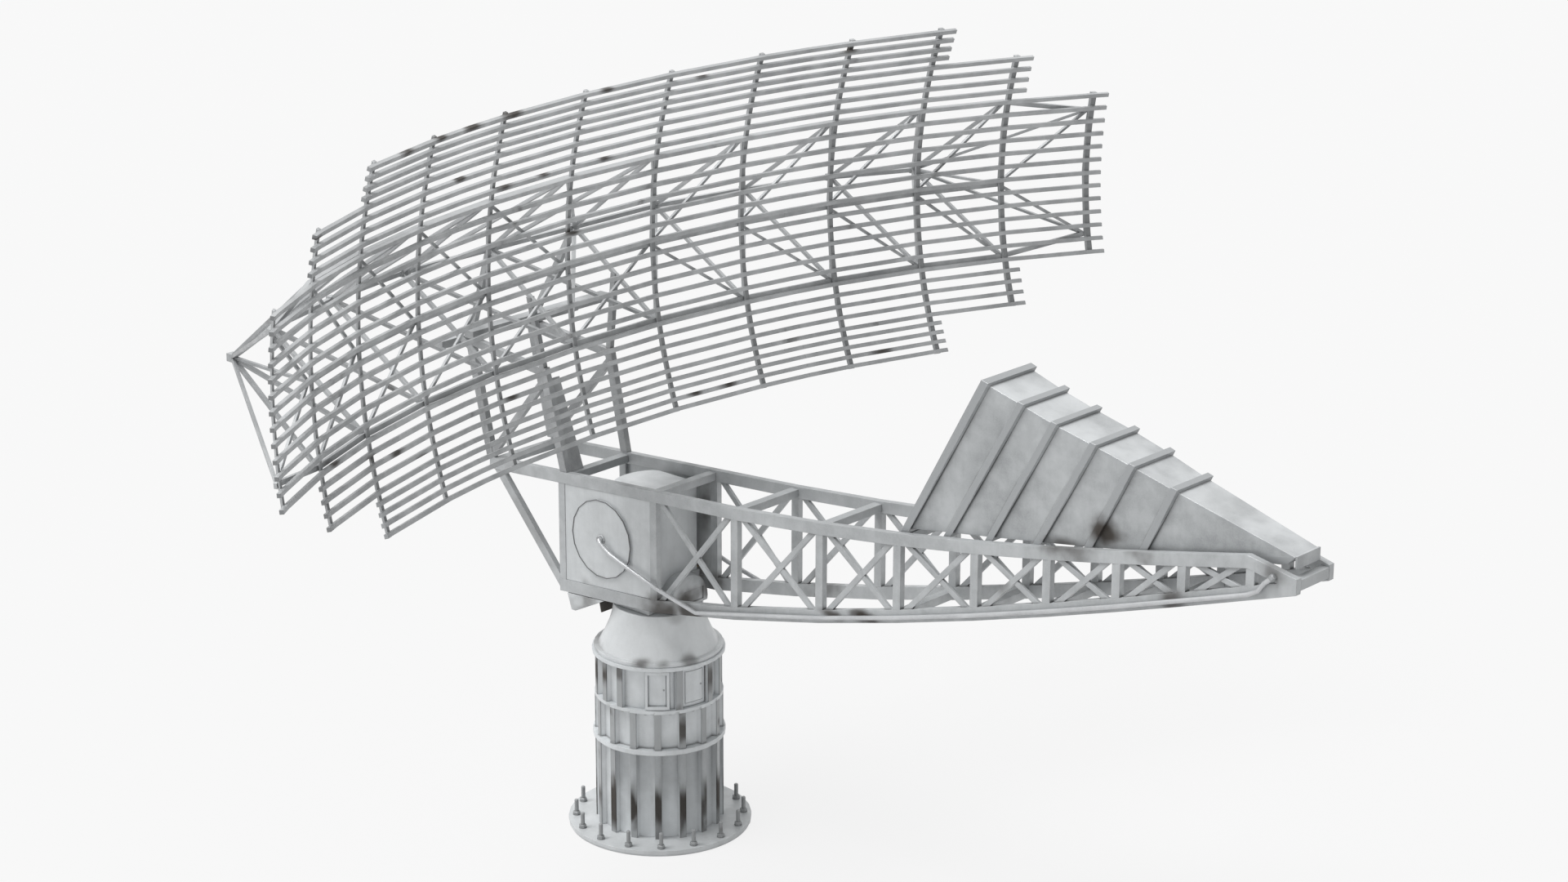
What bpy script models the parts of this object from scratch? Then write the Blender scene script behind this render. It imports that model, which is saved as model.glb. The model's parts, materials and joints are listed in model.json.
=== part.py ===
# Rotating search antenna: an open lattice reflector and a horn on a truss boom,
# tilting on a trunnion head that turns on a ribbed drum pedestal.
# Metres, +Z up. Origin: centre of the foundation plate's underside, on the azimuth axis.
# The boom points along +X, the reflector is spread along Y.

import bpy
import bmesh
import math
from mathutils import Matrix, Vector

# ---- fits ----
GAP = 0.0004            # between pieces that touch
RUN = 0.0012            # between faces that turn past each other
DOOR_PLAY = 0.0025      # round a door leaf
MERGE = 0.00002         # corners this close are one
FLATNESS = math.radians(0.2)    # faces that differ by less lie in one plane

# ---- foundation and base flange ----
FOUNDATION_R = 0.583
FOUNDATION_T = 0.012
FLANGE_R = 0.590
FLANGE_T = 0.026
STUD_COUNT = 16
STUD_CIRCLE_R = 0.539
STUD_R = 0.0135
STUD_ABOVE_FLANGE = 0.105
NUT_R = 0.026
NUT_H = 0.024
STUD_HOLE_PLAY = 0.003
ROUND_STEPS = 32        # facets of the large round pieces

# ---- pedestal drum ----
DRUM_R = 0.375
DRUM_WALL = 0.012
DRUM_RIB_R = 0.410
DRUM_RIB_W = 0.042
DRUM_RIBS = 16
DRUM_RIB_TURN = -2.0    # degrees
LOWER_DRUM_H = 0.880
HOOP_Z = 0.582          # underside of the hoop, above the base flange
HOOP_T = 0.031
HOOP_R = 0.425
JOINT_FLANGE_R = 0.412
JOINT_FLANGE_T = 0.023
UPPER_DRUM_H = 0.292
TOP_FLANGE_R = 0.425
UPPER_RIB_ANGLES = (-122.3, -102.7, -83.0, -27.0, 7.0, 27.0, 57.0, 87.0, 117.0, 147.0, 177.0,
                    207.0)
UPPER_RIB_W = 0.042

# ---- doors of the upper drum: edge angles in degrees, heights above the drum's foot,
# ---- and how far the frame stands proud of the shell
ACCESS_DOOR = {"start": -55.4, "end": -39.0, "low": 0.028, "high": 0.236, "proud": 0.028}
SERVICE_HATCH = {"start": -20.0, "end": 0.0, "low": 0.028, "high": 0.236, "proud": 0.007}
DOOR_T = 0.006
DOOR_LAP = 0.008        # overlap of the leaf on the shell
DOOR_FRAME_W = 0.016
DOOR_SILL_H = 0.024     # bars above and below the leaf
PIN_R = 0.0030          # pivot pins above and below a leaf
PIN_L = 0.008
PIN_PLAY = 0.0006
PIN_INSET = 0.0032      # from the leaf's edge

# ---- cone and azimuth bearing ----
CONE_FLANGE_R = 0.412
CONE_FLANGE_T = 0.026
CONE_FOOT_R = 0.384
CONE_TOP_R = 0.284
CONE_H = 0.270
CONE_WALL = 0.014
CONE_DISH = 0.017       # how far the side falls inside a straight cone
BEARING_R = 0.200
BEARING_BORE_R = 0.150
BEARING_H = 0.058
BEARING_LIP = 0.025

# ---- azimuth drive and slip rings ----
DECK_Z = 0.640          # deck's underside, above the base flange
DECK_T = 0.016
DECK_BORE_R = 0.130
KING_R = 0.100
KING_BORE_R = 0.070
KING_TOP_R = 0.225
KING_TOP_T = 0.020
KING_STEPS = 20
GEAR_TEETH = 54
PINION_TEETH = 18
PRESSURE_ANGLE = math.radians(20.0)
PINION_CLEARANCE = 0.0226    # from the pinion's teeth to the drum
AZIMUTH_FACE = 0.034
AZIMUTH_BACKLASH = 0.0009
BULL_GEAR_Z = 1.000     # gear's underside, above the base flange
DRIVE_ANGLE = -47.0     # where the drive stands, behind the access door
MOTOR_R = 0.056
MOTOR_FIN_R = 0.064
MOTOR_FINS = 3
SHAFT_R = 0.014
SLIP_RING_R = 0.135
SLIP_RINGS = 3
SLIP_RING_PITCH = 0.036
BRUSH_ANGLE = -9.0
BRUSH_ARM = 0.010

# ---- turning head ----
HEAD_R = 0.285
HEAD_H = 0.758
HEAD_FRONT = 0.145      # flat front face
HEAD_NEAR = 0.232       # flat side towards -Y
HEAD_FAR = 0.205        # flat side towards +Y, leaving room for the sector
HEAD_STEPS = 36
GEARBOX_R = 0.177
GEARBOX_FRONT = 0.245   # its front face
GEARBOX_Y = 0.035
GEARBOX_Z = 0.027       # axis, above the turntable
GEARBOX_ROUNDING = 0.024
CASE_WALL = 0.0054      # of the flat case that carries the drive round the head's corner
CASE_HALF_W = 0.055
TRAY_X = -0.352         # plate that hangs behind the head
TRAY_T = 0.008
TRAY_EDGES = (-0.205, -0.060)
TRAY_DROP = 0.145       # below the turntable
TRAY_SLANT = 0.040

# ---- trunnion, in the head's frame ----
TRUNNION_X = -0.200
TRUNNION_RISE = 0.4234  # above the head's foot
JOURNAL_R = 0.070
BEARING_COLLAR_R = 0.105
POCKET_DEPTH = 0.110
COVER_R = 0.257
COVER_SIDES = 18
COVER_T = 0.011
HUB_R = 0.030
HUB_H = 0.008
SECTOR_MODULE = 0.0100
DRIVE_SLOPE = math.radians(-50.0)  # from the trunnion down to the pinion
SECTOR_FACE = 0.026
SECTOR_HALF_ANGLE = math.radians(30.0)
SECTOR_RIM = 0.060
SECTOR_ARM = 0.070
SECTOR_BACKLASH = 0.0016
SECTOR_HUB_R = 0.105

# ---- boom, from the trunnion axis ----
BOOM_START = 0.449
BOOM_HALF_WIDTH = 0.2935
BOOM_BAYS = (0.687, 0.683, 0.594, 0.565, 0.508, 0.469, 0.428, 0.434)
NOSE_LENGTH = 0.289
NOSE_TAPER = 0.310      # length of the top chord's sloping end
NOSE_HALF_WIDTH = 0.143
NOSE_RISE = 0.968       # middle of the nose face above the trunnion axis
CHORD_H = 0.075
LOW_CHORD_H = 0.082
CHORD_T = 0.042
POST_W = 0.056
POST_T = 0.040
BRACE_W = 0.034
BRACE_T = 0.022
HEEL_X = -1.019         # rear end of the top chord
HEEL_Z = 0.272
HEEL_BRACE_W = 0.058
HEEL_SLOPE = 0.080      # of the side plates' lower edge
PLATE_REAR_X = -0.388
PLATE_T = 0.014
PLATE_INSET = 0.004
TOP_TIES = (-0.99, -0.335, 0.440, 1.136, 1.819)
TIE_W = 0.058
TIE_H = 0.050

# ---- feed line and horn ----
PIPE_R = 0.014
PIPE_CLEARANCE = 0.004
PIPE_SLOPE = ((0.020, -0.018), (0.098, -0.074), (0.300, -0.138), (0.502, -0.195),
              (0.842, -0.266))
PIPE_DROP = 0.007       # below the middle of the low chord
PIPE_END = ((0.066, 0.030), (0.100, 0.081), (0.150, 0.126))
HORN_WALL = 0.010
HORN_BAND = 0.022       # stands proud of the wall
HORN_BAND_L = 0.040
HORN_MOUTH_BAND_L = 0.046
# the horn's bands: place of the upper edge, half width, height, from the trunnion axis
HORN_STATIONS = ((2.973, 0.201, 1.647), (3.227, 0.188, 1.572), (3.462, 0.187, 1.508),
                 (3.732, 0.181, 1.447), (3.989, 0.168, 1.381), (4.264, 0.148, 1.302),
                 (5.045, 0.108, 1.098))
HORN_FLOOR_X = (2.390, 2.706, 3.010, 3.346, 3.691, 4.049, 4.990)
HORN_FLOOR_RISE = 0.405     # from the seat under the mouth to the throat
THROAT_L = 0.060
THROAT_H = 0.050

# ---- tower under the reflector ----
LEG = 0.058
TOWER_HALF_WIDTH = 0.290
REAR_LEG_FOOT = -1.010
REAR_LEG_TOP = (-1.200, 1.057)
FRONT_LEG_FOOT = -0.335
FRONT_LEG_TOP = (-0.500, 0.990)
LEG_SPLAY = 0.020
STRUT_SHARE = 0.50      # where the front strut meets the lower web of the rear frame
DUCT_W = 0.120
DUCT_D = 0.040
DUCT_Y = -0.180
PLATFORM_W = 0.080
PLATFORM_H = 0.050
PLATFORM_REACH = 0.600
PLATFORM_RISE = 0.210
BRACKET_SETBACK = 0.065
BRACKET_NOSE = 0.035
BRACKET_DROP = 0.105
BRACKET_L = 0.330
BRACKET_WALL = 0.006
BRACKET_FAR = -0.246

# ---- reflector ----
APEX_X = -0.1876
APEX_Z = 1.8146
CENTRE_BAR_Z = 1.7826
DISH_UP = 0.1628        # x = DISH_UP z^2 + DISH_ACROSS y^2 (1 + DISH_LIP y^2)
DISH_ACROSS = 0.0679
DISH_LIP = 0.0147
BAR_LIFT = 0.0016       # bars rise with y^2
RIB_Y = (0.3705, 1.1049, 1.7972, 2.4317, 2.9976, 3.5226)
RIB_T = 0.028
RIB_D = 0.021
RIB_OVERHANG = 0.003
BAR_H = 0.025
BAR_D = 0.025
# groups of bars from the top: how many, their pitch, ribs on each side, half length
BAR_GROUPS = ((4, 0.0612, 4, 2.520), (4, 0.0749, 5, 3.090), (13, 0.0902, 6, 3.600),
              (4, 0.0743, 5, 3.070), (4, 0.0596, 4, 2.490))
CHORD = 0.030
CHORD_SEAT = 0.0012
CHORD_OVERHANG = 0.006    # past the outermost rib
CHORD_TOP_Z = 2.307
CHORD_MID_Z = 1.747
CHORD_BOTTOM_Z = 1.264
TIP_INSET = 0.100       # the outermost joints of both chords draw together
DIAGONAL = 0.018
DIAGONAL_BACK = 0.004   # the diagonals lie this far behind the chords' middle
WEB = 0.023
TIP_WEB = 0.020         # the lighter webs at both ends of the reflector
WEB_STEP = 0.0003       # each web of a joint is this much thinner than the one before
REAR_DEPTH = 0.780
REAR_LIMIT_X = -0.890
REAR_TIP_SHIFT = 0.040  # of the outermost joints, forward and inward
REAR_Z = 1.732
REAR_CHORD = 0.028
JOINT_BLOCK = 0.046      # where the webs of one rear joint meet

COLOURS = {
    "pale_paint": ((0.60, 0.62, 0.63), 0.55, 0.10),
    "lattice_paint": ((0.50, 0.52, 0.53), 0.50, 0.20),
    "drum_paint": ((0.52, 0.54, 0.55), 0.60, 0.10),
    "zinc": ((0.42, 0.44, 0.45), 0.45, 0.70),
    "gear_steel": ((0.36, 0.36, 0.37), 0.35, 0.90),
    "bronze": ((0.45, 0.30, 0.16), 0.35, 0.90),
    "motor_enamel": ((0.20, 0.24, 0.25), 0.45, 0.10),
}


# ---------------------------------------------------------------- scene helpers

for old in list(bpy.data.objects):
    bpy.data.objects.remove(old, do_unlink=True)


def axis_empty(name, place, parent=None):
    empty = bpy.data.objects.new(name, None)
    bpy.context.scene.collection.objects.link(empty)
    empty.location = place
    empty.parent = parent
    return empty


def paint(name, colour):
    base, rough, metal = COLOURS[colour]
    material = bpy.data.materials.new(name)
    material.use_nodes = True
    shader = material.node_tree.nodes["Principled BSDF"]
    shader.inputs["Base Color"].default_value = (*base, 1.0)
    shader.inputs["Roughness"].default_value = rough
    shader.inputs["Metallic"].default_value = metal
    return material


def mesh_of(points, faces):
    mesh = bpy.data.meshes.new("shape")
    mesh.from_pydata([tuple(p) for p in points], [], faces)
    shape = bmesh.new()
    shape.from_mesh(mesh)
    bmesh.ops.recalc_face_normals(shape, faces=shape.faces[:])
    shape.to_mesh(mesh)
    shape.free()
    return mesh


def combine(shapes, operation, others):
    # joins or cuts the shapes with Blender's exact Boolean and returns one mesh
    base = bpy.data.objects.new("base", shapes)
    bpy.context.scene.collection.objects.link(base)
    group = bpy.data.collections.new("operands")
    bpy.context.scene.collection.children.link(group)
    operands = []
    for other in others:
        operand = bpy.data.objects.new("operand", other)
        group.objects.link(operand)
        operands.append(operand)
    boolean = base.modifiers.new("boolean", "BOOLEAN")
    boolean.solver = "EXACT"
    boolean.operation = operation
    boolean.operand_type = "COLLECTION"
    boolean.collection = group
    view = bpy.context.evaluated_depsgraph_get()
    result = bpy.data.meshes.new_from_object(base.evaluated_get(view))
    for thing in operands + [base]:
        bpy.data.objects.remove(thing, do_unlink=True)
    bpy.data.collections.remove(group)
    return tidy(result)


def tidy(mesh):
    # cleans a Boolean's result, each time more gently until the body is closed
    for merge, flatten in ((MERGE, True), (MERGE, False), (MERGE / 20, True), (0.0, False)):
        shape = bmesh.new()
        shape.from_mesh(mesh)
        if merge:
            bmesh.ops.remove_doubles(shape, verts=shape.verts[:], dist=merge)
            bmesh.ops.dissolve_degenerate(shape, edges=shape.edges[:], dist=merge)
        if flatten:
            bmesh.ops.dissolve_limit(shape, angle_limit=FLATNESS,
                                     verts=shape.verts[:], edges=shape.edges[:])
        bmesh.ops.triangulate(shape, faces=shape.faces[:])
        bmesh.ops.recalc_face_normals(shape, faces=shape.faces[:])
        closed = all(edge.is_manifold for edge in shape.edges)
        if closed:
            break
        shape.free()
    if not closed:
        return mesh
    shape.to_mesh(mesh)
    shape.free()
    return mesh


def largest_part(mesh):
    # keeps the biggest closed body and drops the offcuts of a coped end
    shape = bmesh.new()
    shape.from_mesh(mesh)
    left = set(shape.verts)
    groups = []
    while left:
        queue = [left.pop()]
        group = list(queue)
        while queue:
            for edge in queue.pop().link_edges:
                for vert in edge.verts:
                    if vert in left:
                        left.remove(vert)
                        queue.append(vert)
                        group.append(vert)
        groups.append(group)
    groups.sort(key=len)
    for group in groups[:-1]:
        bmesh.ops.delete(shape, geom=group, context="VERTS")
    shape.to_mesh(mesh)
    shape.free()
    return mesh


def joined(shapes):
    if len(shapes) == 1:
        return shapes[0]
    return combine(shapes[0], "UNION", shapes[1:])


def cut(shape, cutters):
    return combine(shape, "DIFFERENCE", cutters)


def piece(name, mesh, colour, parent=None, place=(0.0, 0.0, 0.0), round_angle=None):
    mesh.name = name
    thing = bpy.data.objects.new(name, mesh)
    bpy.context.scene.collection.objects.link(thing)
    thing.parent = parent
    thing.location = place
    mesh.materials.clear()
    mesh.materials.append(paint(name, colour))
    if round_angle:
        mesh.shade_smooth()
        mesh.set_sharp_from_angle(angle=math.radians(round_angle))
    return thing


# ---------------------------------------------------------------- shape helpers

def loft(rings, closed=False):
    # skins a row of equal rings; open rows are capped
    size = len(rings[0])
    points = [p for ring in rings for p in ring]
    faces = []
    spans = len(rings) if closed else len(rings) - 1
    for k in range(spans):
        a = k * size
        b = ((k + 1) % len(rings)) * size
        for i in range(size):
            j = (i + 1) % size
            faces.append((a + i, a + j, b + j, b + i))
    if not closed:
        faces.append(tuple(range(size)))
        faces.append(tuple(range(len(points) - size, len(points))))
    return mesh_of(points, faces)


def box(low, high):
    x0, y0, z0 = low
    x1, y1, z1 = high
    return loft([[(x0, y0, z), (x1, y0, z), (x1, y1, z), (x0, y1, z)] for z in (z0, z1)])


def beam(start, end, wide, deep, across=(0.0, 1.0, 0.0), grow=0.0):
    # a straight bar: wide is measured along the across direction
    start = Vector(start)
    end = Vector(end)
    along = (end - start).normalized()
    side = Vector(across) - along * along.dot(Vector(across))
    side = side.normalized() * (wide / 2 + grow)
    over = along.cross(side).normalized() * (deep / 2 + grow)
    ring = (side + over, over - side, -side - over, side - over)
    reach = along * grow
    return loft([[start - reach + p for p in ring], [end + reach + p for p in ring]])


def slab(outline, axis, low, high):
    # extrudes an outline; the outline gives the two coordinates that aren't the axis
    rings = []
    for level in (low, high):
        ring = []
        for first, second in outline:
            if axis == "y":
                ring.append((first, level, second))
            elif axis == "x":
                ring.append((level, first, second))
            else:
                ring.append((first, second, level))
        rings.append(ring)
    return loft(rings)


def turned(profile, steps=ROUND_STEPS, shift=0.0):
    # spins a closed profile of (radius, height) about Z
    solid = any(radius == 0.0 for radius, height in profile)
    rings = []
    for k in range(steps):
        angle = 2 * math.pi * k / steps + shift
        rings.append([(r * math.cos(angle), r * math.sin(angle), z) for r, z in profile])
    mesh = loft(rings, closed=True)
    if solid:
        shape = bmesh.new()
        shape.from_mesh(mesh)
        bmesh.ops.remove_doubles(shape, verts=shape.verts[:], dist=0.00001)
        bmesh.ops.dissolve_degenerate(shape, edges=shape.edges[:], dist=0.00001)
        bmesh.ops.recalc_face_normals(shape, faces=shape.faces[:])
        shape.to_mesh(mesh)
        shape.free()
    return mesh


def rod(radius, low, high, steps=12, centre=(0.0, 0.0), axis="z", shift=0.0):
    rings = []
    for level in (low, high):
        ring = []
        for k in range(steps):
            angle = 2 * math.pi * k / steps + shift
            a = centre[0] + radius * math.cos(angle)
            b = centre[1] + radius * math.sin(angle)
            if axis == "y":
                ring.append((a, level, b))
            elif axis == "x":
                ring.append((level, a, b))
            else:
                ring.append((a, b, level))
        rings.append(ring)
    return loft(rings)


def arc_panel(inner, outer, start, end, low, high, steps):
    # a curved plate about Z, angles in degrees
    rings = []
    for k in range(steps + 1):
        angle = math.radians(start + (end - start) * k / steps)
        c = math.cos(angle)
        s = math.sin(angle)
        rings.append([(inner * c, inner * s, low), (outer * c, outer * s, low),
                      (outer * c, outer * s, high), (inner * c, inner * s, high)])
    return loft(rings)


def radial_box(angle, inner, outer, width, low, high):
    shape = box((inner, -width / 2, low), (outer, width / 2, high))
    shape.transform(Matrix.Rotation(math.radians(angle), 4, "Z"))
    return shape


def polar(radius, degrees):
    return (radius * math.cos(math.radians(degrees)), radius * math.sin(math.radians(degrees)))


# ---------------------------------------------------------------- gears

def involute(radius, base):
    if radius <= base:
        return 0.0
    slope = math.acos(base / radius)
    return math.tan(slope) - slope


def gear_outline(teeth, module, backlash, first=0.0, count=None, mid_points=True):
    # points of whole teeth, the first tooth centred on the angle given
    pitch = module * teeth / 2
    base = pitch * math.cos(PRESSURE_ANGLE)
    root = pitch - 1.25 * module
    tip = pitch + 0.95 * module
    half = math.pi / (2 * teeth) - backlash / (2 * pitch) + involute(pitch, base)
    radii = [root, tip]
    if mid_points:
        radii = [root, pitch, tip]
    points = []
    for k in range(count or teeth):
        centre = first + 2 * math.pi * k / teeth
        left = [(r, centre - half + involute(r, base)) for r in radii]
        right = [(r, centre + half - involute(r, base)) for r in reversed(radii)]
        for r, angle in left + right:
            points.append((r * math.cos(angle), r * math.sin(angle)))
    return points


# ---------------------------------------------------------------- pedestal

flange_foot = FOUNDATION_T + GAP
flange_top = FOUNDATION_T + FLANGE_T
drum_foot = flange_top + GAP
drum_joint = flange_top + LOWER_DRUM_H
upper_foot = drum_joint + GAP
upper_top = drum_joint + UPPER_DRUM_H
cone_foot = upper_top + GAP
cone_top = upper_top + CONE_FLANGE_T + CONE_H
stud_angles = [360.0 * k / STUD_COUNT for k in range(STUD_COUNT)]


def build_foundation():
    plate = turned([(0.0, 0.0), (FOUNDATION_R, 0.0), (FOUNDATION_R, FOUNDATION_T),
                    (0.0, FOUNDATION_T)])
    parts = [plate]
    for degrees in stud_angles:
        spot = polar(STUD_CIRCLE_R, degrees)
        stud_top = flange_top + STUD_ABOVE_FLANGE
        parts.append(rod(STUD_R, FOUNDATION_T / 2, stud_top, 6, spot))
        nut_foot = flange_top + GAP
        parts.append(rod(NUT_R, nut_foot, nut_foot + NUT_H, 6, spot,
                         shift=math.radians(degrees)))
    piece("foundation_plate", joined(parts), "zinc")


def build_base_flange():
    plate = turned([(0.0, flange_foot), (FLANGE_R, flange_foot), (FLANGE_R, flange_top),
                    (0.0, flange_top)])
    holes = []
    for degrees in stud_angles:
        holes.append(rod(STUD_R + STUD_HOLE_PLAY, 0.0, flange_top + FLANGE_T, 6,
                         polar(STUD_CIRCLE_R, degrees)))
    piece("base_flange", cut(plate, holes), "pale_paint", round_angle=30)


def build_lower_drum():
    inner = DRUM_R - DRUM_WALL
    hoop_low = flange_top + HOOP_Z
    flange_low = drum_joint - JOINT_FLANGE_T
    shell = turned([(inner, drum_foot), (DRUM_R, drum_foot), (DRUM_R, hoop_low),
                    (HOOP_R, hoop_low), (HOOP_R, hoop_low + HOOP_T),
                    (DRUM_R, hoop_low + HOOP_T), (DRUM_R, flange_low),
                    (JOINT_FLANGE_R, flange_low), (JOINT_FLANGE_R, drum_joint),
                    (inner, drum_joint)])
    ribs = []
    for k in range(DRUM_RIBS):
        ribs.append(radial_box(360.0 * k / DRUM_RIBS + DRUM_RIB_TURN, DRUM_R - DRUM_WALL / 2, DRUM_RIB_R,
                               DRUM_RIB_W, drum_foot, drum_joint - JOINT_FLANGE_T / 2))
    piece("drum_lower", joined([shell] + ribs), "drum_paint", round_angle=30)


def door_edges(door):
    # heights of the leaf, its radius and the place of its pivot pins in its outer corner
    per_metre = math.degrees(1.0 / DRUM_R)
    low = upper_foot + door["low"]
    high = upper_foot + door["high"]
    leaf_r = DRUM_R + RUN
    spot = polar(leaf_r + DOOR_T - PIN_R / 2, door["start"] + PIN_INSET * per_metre)
    return per_metre, low, high, leaf_r, spot


def build_upper_drum():
    inner = DRUM_R - DRUM_WALL
    flange_low = upper_top - JOINT_FLANGE_T
    shell = turned([(inner, upper_foot), (DRUM_R, upper_foot), (DRUM_R, flange_low),
                    (TOP_FLANGE_R, flange_low), (TOP_FLANGE_R, upper_top), (inner, upper_top)])
    parts = [shell]
    holes = []
    for degrees in UPPER_RIB_ANGLES:
        parts.append(radial_box(degrees, DRUM_R - DRUM_WALL / 2, DRUM_RIB_R, UPPER_RIB_W,
                                upper_foot, upper_top - JOINT_FLANGE_T / 2))
    for door in (ACCESS_DOOR, SERVICE_HATCH):
        per_metre, low, high, leaf_r, spot = door_edges(door)
        play = DOOR_PLAY * per_metre
        rim = (DOOR_FRAME_W + DOOR_PLAY) * per_metre
        lap = DOOR_LAP * per_metre
        proud = DRUM_R + door["proud"]
        frame = arc_panel(DRUM_R - DRUM_WALL / 2, proud, door["start"] - rim,
                          door["end"] + rim, low - DOOR_SILL_H, high + DOOR_SILL_H, 6)
        parts.append(frame)
        holes.append(arc_panel(DRUM_R, proud + DOOR_SILL_H, door["start"] - play,
                               door["end"] + play, low - DOOR_PLAY, high + DOOR_PLAY, 6))
        holes.append(arc_panel(inner - DRUM_WALL, proud, door["start"] + lap,
                               door["end"] - lap, low + DOOR_LAP, high - DOOR_LAP, 6))
        holes.append(rod(PIN_R + PIN_PLAY, low - PIN_L - PIN_PLAY, high + PIN_L + PIN_PLAY, 8,
                         spot))
    piece("drum_upper", cut(joined(parts), holes), "drum_paint", round_angle=30)


def build_door(name, door):
    per_metre, low, high, leaf_r, spot = door_edges(door)
    leaf = arc_panel(leaf_r, leaf_r + DOOR_T, door["start"], door["end"], low, high, 6)
    pins = rod(PIN_R, low - PIN_L, high + PIN_L, 8, spot)
    mesh = joined([leaf, pins])
    mesh.transform(Matrix.Translation((-spot[0], -spot[1], 0.0)))
    pin = axis_empty(name + "_hinge", (spot[0], spot[1], 0.0))
    piece(name, mesh, "pale_paint", pin, round_angle=30)


def build_cone():
    foot = cone_foot
    flange = upper_top + CONE_FLANGE_T
    side = []
    for k in range(5):
        share = k / 4
        straight = CONE_FOOT_R + (CONE_TOP_R - CONE_FOOT_R) * share
        side.append((straight - CONE_DISH * 4 * share * (1 - share),
                     flange + CONE_H * share))
    lining = [(side[k][0] - CONE_WALL, side[k][1]) for k in (3, 0)]
    top_inner = (CONE_TOP_R - CONE_WALL / 2, cone_top - BEARING_LIP)
    profile = [(CONE_FLANGE_R, foot), (CONE_FLANGE_R, flange)] + side
    profile += [(BEARING_R, cone_top), (BEARING_R, cone_top - BEARING_LIP), top_inner]
    profile += lining + [(lining[-1][0], foot)]
    piece("bearing_cone", turned(profile), "pale_paint", round_angle=30)
    low = cone_top - BEARING_H
    lip = cone_top - BEARING_LIP - GAP
    ring = turned([(BEARING_BORE_R, low), (BEARING_R + BEARING_LIP, low),
                   (BEARING_R + BEARING_LIP, lip), (BEARING_R - GAP, lip),
                   (BEARING_R - GAP, cone_top - GAP), (BEARING_BORE_R, cone_top - GAP)])
    piece("azimuth_bearing_ring", ring, "gear_steel", round_angle=30)


gear_z = flange_top + BULL_GEAR_Z
azimuth_module = (DRUM_R - DRUM_WALL - PINION_CLEARANCE) / (GEAR_TEETH / 2 + PINION_TEETH + 1)
gear_pitch = azimuth_module * GEAR_TEETH / 2
pinion_pitch = azimuth_module * PINION_TEETH / 2
drive_spot = polar(gear_pitch + pinion_pitch, DRIVE_ANGLE)
deck_low = flange_top + DECK_Z
deck_top = deck_low + DECK_T


def build_azimuth_drive():
    deck = turned([(DECK_BORE_R, deck_low), (DRUM_R - DRUM_WALL - GAP, deck_low),
                   (DRUM_R - DRUM_WALL - GAP, deck_top), (DECK_BORE_R, deck_top)])
    piece("drum_deck", deck, "drum_paint", round_angle=30)
    foot = deck_top + GAP
    top = gear_z - 2 * RUN
    collar = top - DECK_T
    fins = [(0.0, foot), (MOTOR_FIN_R, foot), (MOTOR_FIN_R, foot + DECK_T)]
    pitch = (collar - foot - 2 * DECK_T) / MOTOR_FINS
    for k in range(MOTOR_FINS):
        level = foot + 2 * DECK_T + pitch * k
        fins += [(MOTOR_R, level), (MOTOR_FIN_R, level),
                 (MOTOR_FIN_R, level + pitch / 3), (MOTOR_R, level + pitch / 3)]
    fins += [(MOTOR_R, collar), (2 * SHAFT_R, collar), (2 * SHAFT_R, top), (SHAFT_R, top),
             (SHAFT_R, gear_z + AZIMUTH_FACE), (0.0, gear_z + AZIMUTH_FACE)]
    motor = turned(fins, 12)
    motor.transform(Matrix.Translation((drive_spot[0], drive_spot[1], 0.0)))
    piece("azimuth_motor", motor, "motor_enamel", round_angle=30)
    toward = math.radians(DRIVE_ANGLE + 180.0)
    outline = gear_outline(PINION_TEETH, azimuth_module, AZIMUTH_BACKLASH,
                           toward + math.pi / PINION_TEETH)
    wheel = slab(outline, "z", gear_z, gear_z + AZIMUTH_FACE)
    bore = rod(SHAFT_R + RUN, gear_z - AZIMUTH_FACE, gear_z + 2 * AZIMUTH_FACE, 12)
    pin = axis_empty("azimuth_pinion_axis", (drive_spot[0], drive_spot[1], 0.0))
    piece("azimuth_pinion", cut(wheel, [bore]), "bronze", pin)
    holder = SLIP_RING_R + GAP
    post = radial_box(BRUSH_ANGLE, holder + 3 * BRUSH_ARM, holder + 5 * BRUSH_ARM,
                      5 * BRUSH_ARM, foot, foot + SLIP_RING_PITCH * (SLIP_RINGS + 1))
    arms = [post]
    for k in range(SLIP_RINGS):
        level = ring_level(k)
        arms.append(radial_box(BRUSH_ANGLE, holder, holder + 4 * BRUSH_ARM, 2 * BRUSH_ARM,
                               level + GAP, level + BRUSH_ARM))
    piece("slip_ring_brushes", joined(arms), "motor_enamel")


def ring_level(k):
    return deck_top + GAP + SLIP_RING_PITCH * (k + 0.7)


# ---------------------------------------------------------------- azimuth body

turntable_foot = cone_top + RUN
turntable_top = turntable_foot + KING_TOP_T
head_foot = turntable_top + GAP
head_top = head_foot + HEAD_H
skirt_foot = cone_top + 2 * RUN
trunnion_z = head_foot + TRUNNION_RISE


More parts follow.
